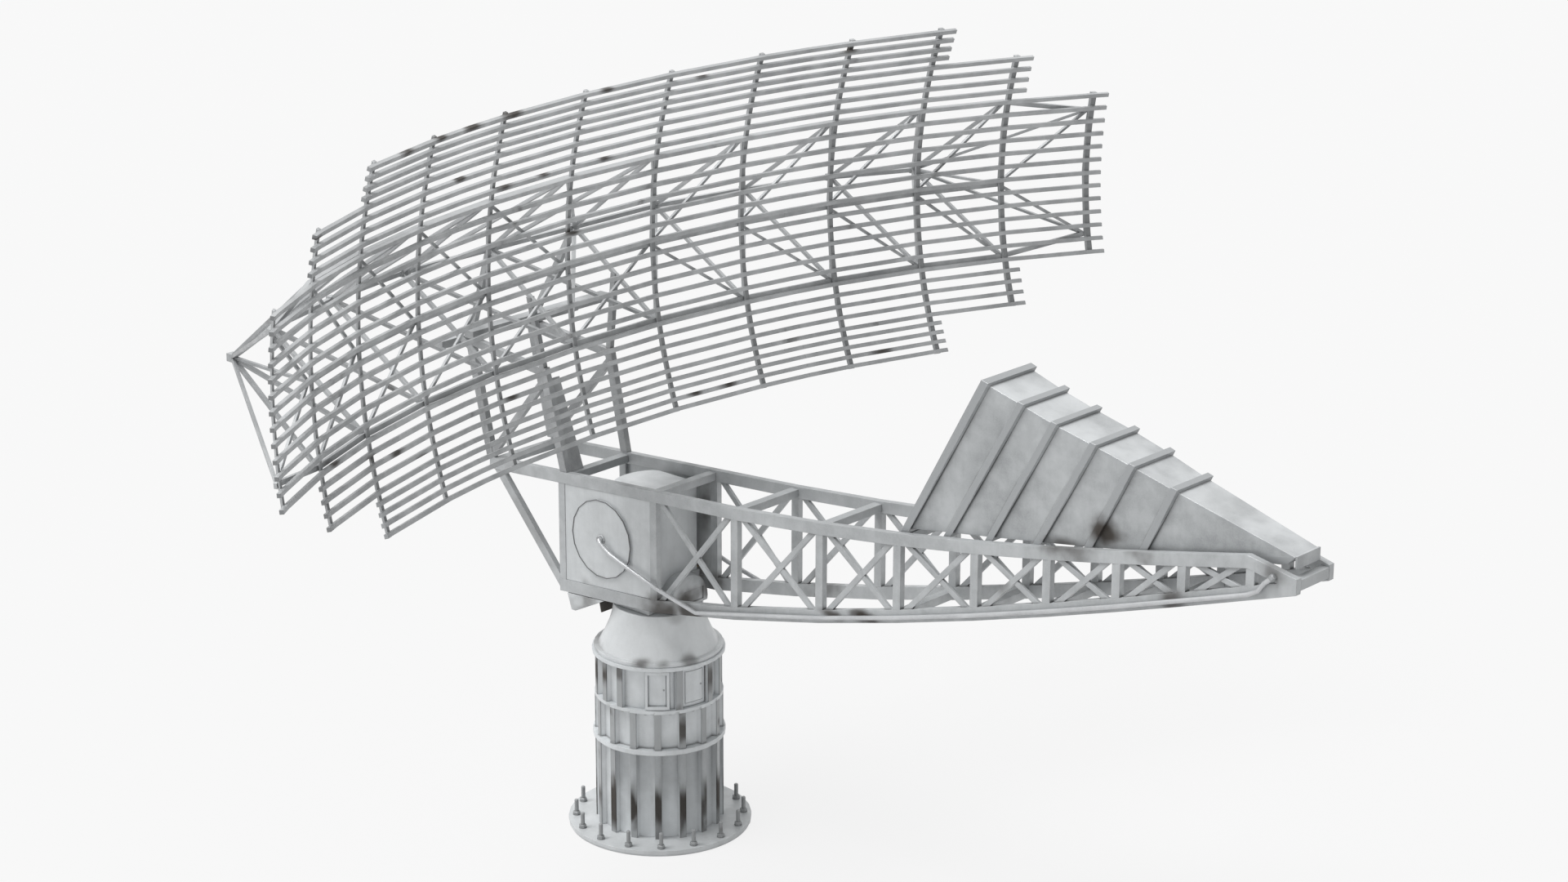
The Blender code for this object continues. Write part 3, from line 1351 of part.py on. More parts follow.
def backing_chord(z, reach, grow=0.0):
    rings = []
    spots = [mirrored(node_point(k, z), -1) for k in range(reach - 1, -1, -1)]
    spots += [node_point(k, z) for k in range(reach)]
    far_y = RIB_Y[reach - 1] + RIB_T / 2 + CHORD_OVERHANG
    end = behind_ribs(far_y, spots[-1].z - BAR_LIFT * far_y * far_y)
    spots = [mirrored(end, -1)] + spots + [end]
    for spot in spots:
        level = spot.z
        forward = rib_normal(spot.y, level) * (CHORD / 2 + grow)
        upward = Vector((-forward.z, 0.0, forward.x))
        rings.append([spot + forward + upward, spot - forward + upward,
                      spot - forward - upward, spot + forward - upward])
    return loft(rings)


def backing_members(grow=0.0):
    # three chords across the ribs and the diagonals between them
    parts = [backing_chord(CHORD_TOP_Z, half_count, grow),
             backing_chord(CHORD_BOTTOM_Z, half_count, grow),
             backing_chord(CHORD_MID_Z, half_count - 1, grow)]
    runs = [(0, 1, CHORD_BOTTOM_Z, -1)]
    for side in (-1, 1):
        for k in range(half_count - 1):
            runs.append((k, side, CHORD_TOP_Z, side))
            runs.append((k, side, CHORD_BOTTOM_Z, side))
    back = Vector((DIAGONAL_BACK, 0.0, 0.0))
    for k, side, z, far_side in runs:
        start = mirrored(node_point(k, CHORD_MID_Z), side) - back
        far = k + 1 if side == far_side else k
        end = mirrored(node_point(far, z), far_side) - back
        parts.append(beam(start, end, DIAGONAL, DIAGONAL, across=(1.0, 0.0, 0.0), grow=grow))
    return parts


def build_backing(parent):
    whole = joined(backing_members())
    for name, low_y, high_y in sections:
        room = box((-2.0, low_y, 0.0), (3.0, high_y, 4.0))
        section = combine(whole.copy(), "INTERSECT", [room])
        piece("backing_frame_" + name, section, "lattice_paint", parent)


def rear_legs(k, side):
    # the webs that spread from the rear chord's joint behind rib k
    start = mirrored(rear_point(k), side)
    ends = [mirrored(node_point(k, z), side) for z in (CHORD_TOP_Z, CHORD_BOTTOM_Z)]
    if k:
        ends += [mirrored(node_point(k - 1, z), side) for z in (CHORD_TOP_Z, CHORD_BOTTOM_Z)]
    else:
        ends += [mirrored(node_point(0, z), -side) for z in (CHORD_TOP_Z, CHORD_BOTTOM_Z)]
    if k == half_count - 2:
        ends += [mirrored(node_point(k + 1, z), side)
                 for z in (CHORD_TOP_Z, CHORD_BOTTOM_Z)]
        ends.append(mirrored(node_point(k, CHORD_MID_Z), side))
    return [(start, end) for end in ends]


def rear_chord_run(k, side, grow=0.0):
    start = mirrored(rear_point(k), side)
    end = mirrored(rear_point(k - 1), side) if k else mirrored(rear_point(0), -side)
    return beam(start, end, REAR_CHORD + grow, REAR_CHORD + grow, across=(0.0, 0.0, 1.0))


def build_rear_frames(parent):
    chords = backing_members(GAP)
    plan = [("centre", [(0, -1), (0, 1)], [])]
    for side, word in ((-1, "near"), (1, "far")):
        plan.append(("inner_" + word, [(2, side), (1, side)], [(0, side)]))
        plan.append(("outer_" + word, [(4, side), (3, side)], [(2, side)]))
    for name, joints, neighbours in plan:
        parts = []
        for k, side in joints:
            for number, (start, end) in enumerate(rear_legs(k, side)):
                slim = (WEB if number < 4 else TIP_WEB) - WEB_STEP * number
                parts.append(beam(start, end, slim, slim))
            if k or side > 0:
                parts.append(rear_chord_run(k, side))
            parts.append(joint_block(start))
        copes = list(chords)
        for k, side in neighbours:
            copes.append(joint_block(mirrored(rear_point(k), side), GAP))
            for start, end in rear_legs(k, side):
                copes.append(beam(start, end, WEB, WEB, grow=GAP))
            copes.append(rear_chord_run(k, side, 2 * GAP))
        frame = largest_part(cut(joined(parts), copes))
        piece("rear_frame_" + name, frame, "lattice_paint", parent)


def build_reflector(parent):
    for name, low_y, high_y in sections:
        rib_list = [k for k, y in enumerate(rib_ys) if low_y < y < high_y]
        piece("reflector_" + name, lattice(rib_list, low_y, high_y), "lattice_paint", parent)


seam = (RIB_Y[1] + RIB_Y[2]) / 2
wing = RIB_Y[-1] + 0.5
sections = (("near", -wing, -seam - GAP), ("centre", -seam + GAP, seam - GAP),
            ("far", seam + GAP, wing))


# ---------------------------------------------------------------- assembly

azimuth_axis = axis_empty("azimuth_axis", (0.0, 0.0, 0.0))
elevation_axis = axis_empty("elevation_axis", (TRUNNION_X, 0.0, trunnion_z), azimuth_axis)

build_foundation()
build_base_flange()
build_lower_drum()
build_upper_drum()
build_door("access_door", ACCESS_DOOR)
build_door("service_hatch", SERVICE_HATCH)
build_cone()
build_azimuth_drive()
build_king_tube(azimuth_axis)
build_head(azimuth_axis)
build_gearbox(azimuth_axis)
build_drip_tray(azimuth_axis)
build_elevation_pinion(azimuth_axis)
build_sector(elevation_axis)
for word, hand in (("near", -1), ("far", 1)):
    build_boom_side("boom_truss_" + word, hand, elevation_axis)
    build_side_plate("side_plate_" + word, hand, elevation_axis)
    build_trunnion_cover("trunnion_cover_" + word, hand, elevation_axis)
    build_feed_pipe("feed_pipe_" + word, hand, elevation_axis)
build_ties(elevation_axis)
build_nose(elevation_axis)
build_horn(elevation_axis)
build_reflector(elevation_axis)
build_backing(elevation_axis)
build_rear_frames(elevation_axis)
build_platform(elevation_axis)
build_duct(elevation_axis)
build_rear_bracket(elevation_axis)
for word, hand in (("near", -1), ("far", 1)):
    build_tower_side("tower_" + word, hand, elevation_axis)

total = 0
for thing in bpy.data.objects:
    if thing.type == "MESH":
        total += sum(len(face.vertices) - 2 for face in thing.data.polygons)
print("pieces", len([o for o in bpy.data.objects if o.type != "EMPTY"]), "triangles", total)
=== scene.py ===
import bpy
import bmesh
import json
import math
from mathutils import Matrix, Vector


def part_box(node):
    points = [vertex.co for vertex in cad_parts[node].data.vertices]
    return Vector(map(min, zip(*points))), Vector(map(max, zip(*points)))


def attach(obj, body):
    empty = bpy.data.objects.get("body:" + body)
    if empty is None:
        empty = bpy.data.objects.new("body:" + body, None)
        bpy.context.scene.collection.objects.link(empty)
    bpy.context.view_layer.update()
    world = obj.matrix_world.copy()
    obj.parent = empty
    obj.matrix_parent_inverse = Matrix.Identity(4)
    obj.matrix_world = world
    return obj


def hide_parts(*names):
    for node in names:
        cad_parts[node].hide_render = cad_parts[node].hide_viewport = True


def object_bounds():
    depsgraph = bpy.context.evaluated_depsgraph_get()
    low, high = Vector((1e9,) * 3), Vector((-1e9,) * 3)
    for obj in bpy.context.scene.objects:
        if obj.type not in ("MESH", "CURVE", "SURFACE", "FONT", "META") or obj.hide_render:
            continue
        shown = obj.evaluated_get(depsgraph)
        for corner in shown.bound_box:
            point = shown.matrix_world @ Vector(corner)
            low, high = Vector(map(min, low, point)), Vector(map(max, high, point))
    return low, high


# Search antenna: looks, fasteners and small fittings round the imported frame.

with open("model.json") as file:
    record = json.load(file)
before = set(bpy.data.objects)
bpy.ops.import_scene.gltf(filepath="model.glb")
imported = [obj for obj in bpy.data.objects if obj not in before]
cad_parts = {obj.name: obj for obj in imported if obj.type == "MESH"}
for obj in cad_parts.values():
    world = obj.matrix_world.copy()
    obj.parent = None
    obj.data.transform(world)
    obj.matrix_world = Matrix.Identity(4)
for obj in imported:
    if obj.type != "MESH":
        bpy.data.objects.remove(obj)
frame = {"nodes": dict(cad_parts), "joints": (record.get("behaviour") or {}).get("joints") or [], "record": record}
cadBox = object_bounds()
scene = bpy.context.scene
nodeOf = frame["nodes"]
slotOf = {part["node"]: part["material_slot"] for part in frame["record"]["subparts"]}
bodyOf = {}
for body, nodes in frame["record"]["behaviour"]["bodies"].items():
    for node in nodes:
        bodyOf[node] = body
print("frame loaded:", len(nodeOf), "nodes")


def addNode(tree, kind, settings=None, inputs=None):
    # a node with its settings; an input takes a plain value or another node's output
    node = tree.nodes.new(kind)
    for name, value in (settings or {}).items():
        setattr(node, name, value)
    for name, value in (inputs or {}).items():
        if isinstance(value, bpy.types.NodeSocket):
            tree.links.new(value, node.inputs[name])
        else:
            node.inputs[name].default_value = value
    return node


def startGroup(name, inputs, outputs):
    group = bpy.data.node_groups.new(name, "ShaderNodeTree")
    for label, kind, value in inputs:
        socket = group.interface.new_socket(name=label, in_out="INPUT", socket_type=kind)
        if value is not None:
            socket.default_value = value
    for label, kind in outputs:
        group.interface.new_socket(name=label, in_out="OUTPUT", socket_type=kind)
    source = group.nodes.new("NodeGroupInput")
    target = group.nodes.new("NodeGroupOutput")
    return group, source.outputs, target.inputs


def remap(tree, value, low, high, toLow=0.0, toHigh=1.0, smooth=True):
    node = addNode(tree, "ShaderNodeMapRange",
                   {"interpolation_type": "SMOOTHSTEP" if smooth else "LINEAR"},
                   {"Value": value, "From Min": low, "From Max": high,
                    "To Min": toLow, "To Max": toHigh})
    return node.outputs["Result"]


def calc(tree, operation, first, second=0.5, clamp=False):
    node = addNode(tree, "ShaderNodeMath", {"operation": operation, "use_clamp": clamp},
                   {0: first, 1: second})
    return node.outputs[0]


def vectorCalc(tree, operation, first, second=(0.0, 0.0, 0.0)):
    node = addNode(tree, "ShaderNodeVectorMath", {"operation": operation}, {0: first, 1: second})
    return node.outputs["Value" if operation in ("LENGTH", "DOT_PRODUCT") else "Vector"]


def blendColour(tree, share, first, second):
    # sockets 0, 6 and 7 of a Mix node are its share and its two colours
    node = addNode(tree, "ShaderNodeMix", {"data_type": "RGBA"}, {0: share, 6: first, 7: second})
    return node.outputs[2]


def noiseAt(tree, vector, scale, detail, rough):
    node = addNode(tree, "ShaderNodeTexNoise", {}, {"Vector": vector, "Scale": scale,
                                                    "Detail": detail, "Roughness": rough})
    return node.outputs["Fac"]


# effects that several finishes share; each takes the values in the dictionary above it

cloudedPaint = {  # size input, noise detail and roughness, levels that give 0 and 1
    "Clouds": ("Cloud Size", 3.0, 0.55, 0.35, 0.66),
    "Blotches": ("Blotch Size", 4.0, 0.60, 0.36, 0.68),
    "Grain": ("Grain Size", 2.0, 0.50, 0.25, 0.75),
}


def makeCloudedPaint(values):
    # uneven paint: broad clouds, hand-sized blotches and a fine grain
    group, given, wanted = startGroup(
        "cloudedPaint",
        [("Vector", "NodeSocketVector", None), ("Cloud Size", "NodeSocketFloat", 0.6),
         ("Blotch Size", "NodeSocketFloat", 0.12), ("Grain Size", "NodeSocketFloat", 0.006)],
        [(output, "NodeSocketFloat") for output in values])
    for output, (size, detail, rough, low, high) in values.items():
        rate = calc(group, "DIVIDE", 1.0, given[size])
        noise = noiseAt(group, given["Vector"], rate, detail, rough)
        group.links.new(remap(group, noise, low, high), wanted[output])
    return group


sootSpot = {"noiseScale": 7.0, "noiseDetail": 2.0, "noiseRough": 0.5, "noiseLow": 0.25,
            "noiseHigh": 0.75, "ragged": 0.30, "solidShare": 0.15}


def makeSootShadeSpot(values):
    # one soft dark spot round a point, used for soot and for painted shade; Tall stretches it upright
    group, given, wanted = startGroup(
        "sootSpot",
        [("Vector", "NodeSocketVector", None), ("Centre", "NodeSocketVector", None),
         ("Radius", "NodeSocketFloat", 0.1), ("Tall", "NodeSocketFloat", 1.0),
         ("Strength", "NodeSocketFloat", 1.0)],
        [("Mask", "NodeSocketFloat")])
    offset = vectorCalc(group, "SUBTRACT", given["Vector"], given["Centre"])
    parts = addNode(group, "ShaderNodeSeparateXYZ", {}, {"Vector": offset}).outputs
    squashed = addNode(group, "ShaderNodeCombineXYZ", {}, {
        "X": parts["X"], "Y": parts["Y"],
        "Z": calc(group, "DIVIDE", parts["Z"], given["Tall"])}).outputs[0]
    share = calc(group, "DIVIDE", vectorCalc(group, "LENGTH", squashed), given["Radius"])
    noise = noiseAt(group, given["Vector"], values["noiseScale"], values["noiseDetail"],
                    values["noiseRough"])
    uneven = remap(group, noise, values["noiseLow"], values["noiseHigh"], -values["ragged"],
                   values["ragged"], False)
    mask = remap(group, calc(group, "ADD", share, uneven), values["solidShare"], 1.0, 1.0, 0.0)
    group.links.new(calc(group, "MULTIPLY", mask, given["Strength"]), wanted["Mask"])
    return group


sootDrift = {"noiseDetail": 4.0, "noiseRough": 0.55, "bareLevel": 0.72, "coverGain": 0.42,
             "softness": 0.10}


def makeSootDrift(values):
    # soot that settled here and there: Cover sets how much of the surface it takes
    group, given, wanted = startGroup(
        "sootDrift",
        [("Vector", "NodeSocketVector", None), ("Patch Size", "NodeSocketFloat", 0.3),
         ("Cover", "NodeSocketFloat", 0.1)],
        [("Mask", "NodeSocketFloat")])
    rate = calc(group, "DIVIDE", 1.0, given["Patch Size"])
    noise = noiseAt(group, given["Vector"], rate, values["noiseDetail"], values["noiseRough"])
    taken = calc(group, "MULTIPLY", given["Cover"], values["coverGain"])
    above = calc(group, "SUBTRACT", noise, calc(group, "SUBTRACT", values["bareLevel"], taken))
    group.links.new(remap(group, above, 0.0, values["softness"]), wanted["Mask"])
    return group


runMarks = {"stretch": (1.0, 1.0, 0.06), "noiseDetail": 3.0, "noiseRough": 0.6, "low": 0.45,
            "high": 0.75}


def makeRunMarks(values):
    # faint marks where rain ran down
    group, given, wanted = startGroup(
        "runMarks",
        [("Vector", "NodeSocketVector", None), ("Width", "NodeSocketFloat", 0.03)],
        [("Mask", "NodeSocketFloat")])
    long = vectorCalc(group, "MULTIPLY", given["Vector"], values["stretch"])
    rate = calc(group, "DIVIDE", 1.0, given["Width"])
    noise = noiseAt(group, long, rate, values["noiseDetail"], values["noiseRough"])
    group.links.new(remap(group, noise, values["low"], values["high"]), wanted["Mask"])
    return group


ribSoot = {
    "faceEdge": 0.003, "limitEdge": 0.0008, "uprightLean": 0.5, "flatLean": 0.8,
    "jointHalf": 0.0118, "jointEdge": 0.0010,
    "columnStretch": (1.0, 1.0, 0.30), "columnScale": 9.0, "columnLow": 0.3, "columnHigh": 0.7,
    "columnLift": 0.8, "columnDrop": -0.2, "reachLimit": 1.25, "reachSoft": 0.9,
    "patchScale": 5.0, "patchLow": 0.56, "patchHigh": 0.74, "patchShare": 0.9,
    "noiseDetail": 2.0, "noiseRough": 0.5,
}


def makeRibSoot(values):
    # soot on ribs that stand between Radius and Limit from the upright axis, but not on the
    # two joint flanges; it is thickest round the height Middle
    group, given, wanted = startGroup(
        "ribSoot",
        [("Vector", "NodeSocketVector", None), ("Normal", "NodeSocketVector", None),
         ("Radius", "NodeSocketFloat", 0.4), ("Limit", "NodeSocketFloat", 0.41),
         ("Lower Joint", "NodeSocketFloat", 0.9), ("Upper Joint", "NodeSocketFloat", 1.2),
         ("Middle", "NodeSocketFloat", 0.25), ("Reach", "NodeSocketFloat", 0.24)],
        [("Face", "NodeSocketFloat"), ("Mask", "NodeSocketFloat")])
    parts = addNode(group, "ShaderNodeSeparateXYZ", {}, {"Vector": given["Vector"]}).outputs
    slope = addNode(group, "ShaderNodeSeparateXYZ", {}, {"Vector": given["Normal"]}).outputs
    level = addNode(group, "ShaderNodeCombineXYZ", {}, {"X": parts["X"], "Y": parts["Y"]})
    out = vectorCalc(group, "LENGTH", level.outputs[0])
    beyond = calc(group, "SUBTRACT", out, given["Radius"])
    past = calc(group, "SUBTRACT", out, given["Limit"])
    face = calc(group, "MULTIPLY", remap(group, beyond, 0.0, values["faceEdge"]),
                remap(group, past, 0.0, values["limitEdge"], 1.0, 0.0))
    lean = calc(group, "ABSOLUTE", slope["Z"])
    face = calc(group, "MULTIPLY", face, remap(group, lean, values["uprightLean"],
                                               values["flatLean"], 1.0, 0.0))
    for joint in ("Lower Joint", "Upper Joint"):
        away = calc(group, "ABSOLUTE", calc(group, "SUBTRACT", parts["Z"], given[joint]))
        face = calc(group, "MULTIPLY", face,
                    remap(group, away, values["jointHalf"],
                          values["jointHalf"] + values["jointEdge"]))
    away = calc(group, "ABSOLUTE", calc(group, "SUBTRACT", parts["Z"], given["Middle"]))
    height = calc(group, "DIVIDE", away, given["Reach"])
    column = noiseAt(group, vectorCalc(group, "MULTIPLY", given["Vector"],
                                       values["columnStretch"]),
                     values["columnScale"], values["noiseDetail"], values["noiseRough"])
    lifted = remap(group, column, values["columnLow"], values["columnHigh"],
                   values["columnLift"], values["columnDrop"])
    left = calc(group, "SUBTRACT", values["reachLimit"], calc(group, "ADD", height, lifted))
    patch = noiseAt(group, given["Vector"], values["patchScale"], values["noiseDetail"],
                    values["noiseRough"])
    mask = calc(group, "MAXIMUM", remap(group, left, 0.0, values["reachSoft"]),
                remap(group, patch, values["patchLow"], values["patchHigh"], 0.0,
                      values["patchShare"]))
    group.links.new(face, wanted["Face"])
    group.links.new(calc(group, "MULTIPLY", mask, face), wanted["Mask"])
    return group


creviceDirt = {"samples": 6, "open": 0.92, "closed": 0.40}


def makePaintedCornerShade(values):
    # painted shade: darkens inside corners within Reach of them, from ambient occlusion
    group, given, wanted = startGroup("creviceDirt", [("Reach", "NodeSocketFloat", 0.03)],
                                      [("Mask", "NodeSocketFloat")])
    shade = addNode(group, "ShaderNodeAmbientOcclusion",
                    {"samples": values["samples"], "only_local": True},
                    {"Distance": given["Reach"]}).outputs["AO"]
    group.links.new(remap(group, shade, values["open"], values["closed"]), wanted["Mask"])
    return group


paleTop = {"low": 0.55, "high": 0.90}


def makePaintedTopLight(values):
    # painted highlight: lighter paint where a face looks up, as if lit from above
    group, given, wanted = startGroup("paleTop", [("Normal", "NodeSocketVector", None)],
                                      [("Mask", "NodeSocketFloat")])
    slope = addNode(group, "ShaderNodeSeparateXYZ", {}, {"Vector": given["Normal"]}).outputs
    group.links.new(remap(group, slope["Z"], values["low"], values["high"]), wanted["Mask"])
    return group


wornEdge = {"samples": 4, "flat": 0.995, "sharp": 0.85}


def makeEdgeWearAndHighlight(values):
    # softened edge normal, and a mask of where the edges are
    group, given, wanted = startGroup(
        "wornEdge",
        [("Radius", "NodeSocketFloat", 0.004)],
        [("Edge", "NodeSocketFloat"), ("Normal", "NodeSocketVector")])
    rounded = addNode(group, "ShaderNodeBevel", {"samples": values["samples"]},
                      {"Radius": given["Radius"]}).outputs["Normal"]
    plain = addNode(group, "ShaderNodeNewGeometry").outputs["Normal"]
    match = vectorCalc(group, "DOT_PRODUCT", rounded, plain)
    group.links.new(remap(group, match, values["flat"], values["sharp"]), wanted["Edge"])
    group.links.new(rounded, wanted["Normal"])
    return group


effects = {
    "cloudedPaint": makeCloudedPaint(cloudedPaint),
    "sootSpot": makeSootShadeSpot(sootSpot),
    "sootDrift": makeSootDrift(sootDrift),
    "runMarks": makeRunMarks(runMarks),
    "ribSoot": makeRibSoot(ribSoot),
    "creviceDirt": makePaintedCornerShade(creviceDirt),
    "paleTop": makePaintedTopLight(paleTop),
    "wornEdge": makeEdgeWearAndHighlight(wornEdge),
}
print("shared effects built:", len(effects))


# finishes, with sizes in metres: drift and runs are how much soot and rain marks show, band
# is the tone of flagged faces, and the pale colour is a painted highlight on faces that look up

finishes = {
    "boomPaint": {
        "light": (0.455, 0.471, 0.479), "dark": (0.335, 0.347, 0.354), "rough": (0.38, 0.52),
        "metal": 0.3, "cloud": 0.55, "blotch": 0.09, "grain": 0.009, "edge": 0.005,
        "bare": (0.66, 0.67, 0.68), "drift": 0.08, "patch": 0.45, "crevice": 0.016, "runs": 0.1,
    },
    "hornPaint": {
        "light": (0.455, 0.471, 0.479), "dark": (0.29, 0.301, 0.308), "rough": (0.34, 0.46),
        "metal": 0.35, "cloud": 0.45, "blotch": 0.12, "grain": 0.009, "edge": 0.004,
        "bare": (0.66, 0.67, 0.68), "drift": 0.0, "patch": 0.5, "crevice": 0.016, "runs": 0.08,
        "band": 1.15, "pale": (0.56, 0.577, 0.587),
    },
    "headPaint": {
        "light": (0.56, 0.58, 0.59), "dark": (0.46, 0.476, 0.484), "rough": (0.38, 0.52),
        "metal": 0.25, "cloud": 0.5, "blotch": 0.12, "grain": 0.009, "edge": 0.004,
        "bare": (0.68, 0.69, 0.7), "drift": 0.05, "patch": 0.35, "crevice": 0.018, "runs": 0.1,
        "pale": (0.72, 0.74, 0.75),
    },
    "basePaint": {
        "light": (0.57, 0.589, 0.598), "dark": (0.46, 0.476, 0.484), "rough": (0.38, 0.52),
        "metal": 0.25, "cloud": 0.5, "blotch": 0.12, "grain": 0.009, "edge": 0.004,
        "bare": (0.74, 0.75, 0.76), "drift": 0.04, "patch": 0.35, "crevice": 0.018, "runs": 0.1,
        "band": 0.66,
    },
    "conePaint": {
        "light": (0.62, 0.64, 0.65), "dark": (0.54, 0.557, 0.565), "rough": (0.34, 0.48),
        "metal": 0.25, "cloud": 0.5, "blotch": 0.12, "grain": 0.009, "edge": 0.004,
        "bare": (0.7, 0.71, 0.72), "drift": 0.02, "patch": 0.35, "crevice": 0.016, "runs": 0.08,
    },
    "drumPaint": {
        "light": (0.63, 0.654, 0.668), "dark": (0.52, 0.539, 0.549), "rough": (0.34, 0.48),
        "metal": 0.25, "cloud": 0.35, "blotch": 0.09, "grain": 0.009, "edge": 0.004,
        "bare": (0.7, 0.71, 0.72), "drift": 0.0, "patch": 0.22, "crevice": 0.02, "runs": 0.12,
        "ribRadius": 0.4025, "ribLimit": 0.4112, "lowerJoint": 0.9065, "upperJoint": 1.1985,
    },
    "towerPaint": {
        "light": (0.37, 0.381, 0.387), "dark": (0.23, 0.237, 0.242), "rough": (0.38, 0.52),
        "metal": 0.3, "cloud": 0.45, "blotch": 0.1, "grain": 0.009, "edge": 0.005,
        "bare": (0.6, 0.61, 0.62), "drift": 0.1, "patch": 0.35, "crevice": 0.016, "runs": 0.1,
        "pale": (0.46, 0.474, 0.482),
    },
    "latticePaint": {
        "light": (0.44, 0.452, 0.459), "dark": (0.28, 0.288, 0.294), "rough": (0.34, 0.5),
        "metal": 0.4, "cloud": 0.8, "blotch": 0.12, "grain": 0.006, "edge": 0.004,
        "bare": (0.58, 0.59, 0.6), "drift": 0.16, "patch": 0.35, "runs": 0.0, "band": 0.8,
        "pale": (0.49, 0.503, 0.51),
    },
    "pipeMetal": {
        "light": (0.58, 0.59, 0.6), "dark": (0.46, 0.47, 0.48), "rough": (0.36, 0.46),
        "metal": 0.65, "cloud": 0.3, "blotch": 0.06, "grain": 0.012, "edge": 0.0005,
        "bare": (0.78, 0.79, 0.8), "drift": 0.0, "patch": 0.2, "runs": 0.0,
    },
    # near-black with a brown tint, for the head's rear tray: painted shade under the boom, with soot
    "sootedSteel": {
        "light": (0.115, 0.105, 0.095), "dark": (0.055, 0.05, 0.045), "rough": (0.45, 0.6),
        "metal": 0.3, "cloud": 0.2, "blotch": 0.05, "grain": 0.003, "edge": 0.004,
        "bare": (0.35, 0.34, 0.33), "drift": 0.2, "patch": 0.12, "runs": 0.0,
    },
    # dark seal colour: paints the shadow line round each trunnion cover
    "gasketRubber": {
        "light": (0.18, 0.183, 0.187), "dark": (0.11, 0.112, 0.115), "rough": (0.55, 0.7),
        "metal": 0.0, "cloud": 0.12, "blotch": 0.03, "grain": 0.002, "edge": 0.002,
        "bare": (0.16, 0.16, 0.16), "drift": 0.1, "patch": 0.1, "runs": 0.0,
    },
    "zincSteel": {
        "light": (0.42, 0.43, 0.44), "dark": (0.24, 0.25, 0.25), "rough": (0.3, 0.48), "metal": 0.7,
        "cloud": 0.2, "blotch": 0.03, "grain": 0.002, "edge": 0.002, "bare": (0.6, 0.61, 0.62),
        "drift": 0.1, "patch": 0.08, "runs": 0.0,
    },
    "gearSteel": {
        "light": (0.36, 0.36, 0.37), "dark": (0.2, 0.2, 0.2), "rough": (0.25, 0.42), "metal": 0.9,
        "cloud": 0.2, "blotch": 0.04, "grain": 0.002, "edge": 0.002, "bare": (0.6, 0.6, 0.6),
        "drift": 0.2, "patch": 0.1, "runs": 0.0,
    },
    "bronzeMetal": {
        "light": (0.45, 0.3, 0.16), "dark": (0.28, 0.18, 0.09), "rough": (0.28, 0.42), "metal": 0.9,
        "cloud": 0.12, "blotch": 0.03, "grain": 0.002, "edge": 0.002, "bare": (0.62, 0.45, 0.26),
        "drift": 0.1, "patch": 0.08, "runs": 0.0,
    },
    "motorEnamel": {
        "light": (0.2, 0.24, 0.25), "dark": (0.12, 0.15, 0.155), "rough": (0.38, 0.5), "metal": 0.1,
        "cloud": 0.15, "blotch": 0.04, "grain": 0.002, "edge": 0.002, "bare": (0.45, 0.46, 0.46),
        "drift": 0.06, "patch": 0.08, "runs": 0.0,
    },
}

coat = {  # how strongly each layer of a finish tells
    "cloudShare": 0.60, "blotchShare": 0.40, "grainShare": 0.28, "paleLow": 0.25,
    "runDark": 0.62, "chipShare": 0.35, "creviceShare": 0.72, "driftShare": 0.55,
    "ribShare": 0.80, "ribDark": 0.50, "ribSoot": 0.97, "sootRough": 0.25,
    "bumpStrength": 0.10, "bumpDistance": 0.001,
    "sootColour": (0.030, 0.024, 0.019), "creviceColour": (0.070, 0.069, 0.067),
}


def placeEffect(tree, name, inputs):
    return addNode(tree, "ShaderNodeGroup", {"node_tree": effects[name]}, inputs).outputs


def toned(colour, share=1.0):
    return tuple(share * part for part in colour) + (1.0,)


def layPaint(tree, look, texture, paint):
    # mottled paint, with a painted highlight where it faces up, and rain marks
    tone = calc(tree, "ADD", calc(tree, "MULTIPLY", paint["Clouds"], coat["cloudShare"]),
                calc(tree, "MULTIPLY", paint["Blotches"], coat["blotchShare"]))
    colour = blendColour(tree, tone, toned(look["dark"]), toned(look["light"]))
    grained = calc(tree, "MULTIPLY", paint["Grain"], coat["grainShare"])
    colour = blendColour(tree, grained, colour, toned(look["light"]))
    # painted highlight: faces that look up are lightened, unevenly
    if "pale" in look:
        top = placeEffect(tree, "paleTop", {"Normal": texture["Normal"]})["Mask"]
        uneven = remap(tree, paint["Clouds"], 0.0, 1.0, coat["paleLow"], 1.0, False)
        colour = blendColour(tree, calc(tree, "MULTIPLY", top, uneven), colour,
                             toned(look["pale"]))
    if look["runs"]:
        runs = placeEffect(tree, "runMarks", {"Vector": texture["Object"]})["Mask"]
        colour = blendColour(tree, calc(tree, "MULTIPLY", runs, look["runs"]), colour,
                             toned(look["dark"], coat["runDark"]))
    return colour


def layWear(tree, look, colour, paint, edgeWearHighlight):
    # chipped edges that also carry a painted edge highlight, toned bands and painted shade in corners
    # worn paint and a painted highlight: edges lightened toward the bare colour
    share = calc(tree, "MULTIPLY", paint["Blotches"], coat["chipShare"])
    chipAndHighlight = calc(tree, "MULTIPLY", edgeWearHighlight["Edge"], share)
    colour = blendColour(tree, chipAndHighlight, colour, toned(look["bare"]))
    if "band" in look:
        band = addNode(tree, "ShaderNodeAttribute", {"attribute_name": "band"}).outputs["Fac"]
        colour = blendColour(tree, band, colour, toned(look["dark"], look["band"]))
    # painted shade in inside corners, from ambient occlusion
    if "crevice" in look:
        corner = placeEffect(tree, "creviceDirt", {"Reach": look["crevice"]})["Mask"]
        colour = blendColour(tree, calc(tree, "MULTIPLY", corner, coat["creviceShare"]),
                             colour, toned(coat["creviceColour"]))
    return colour


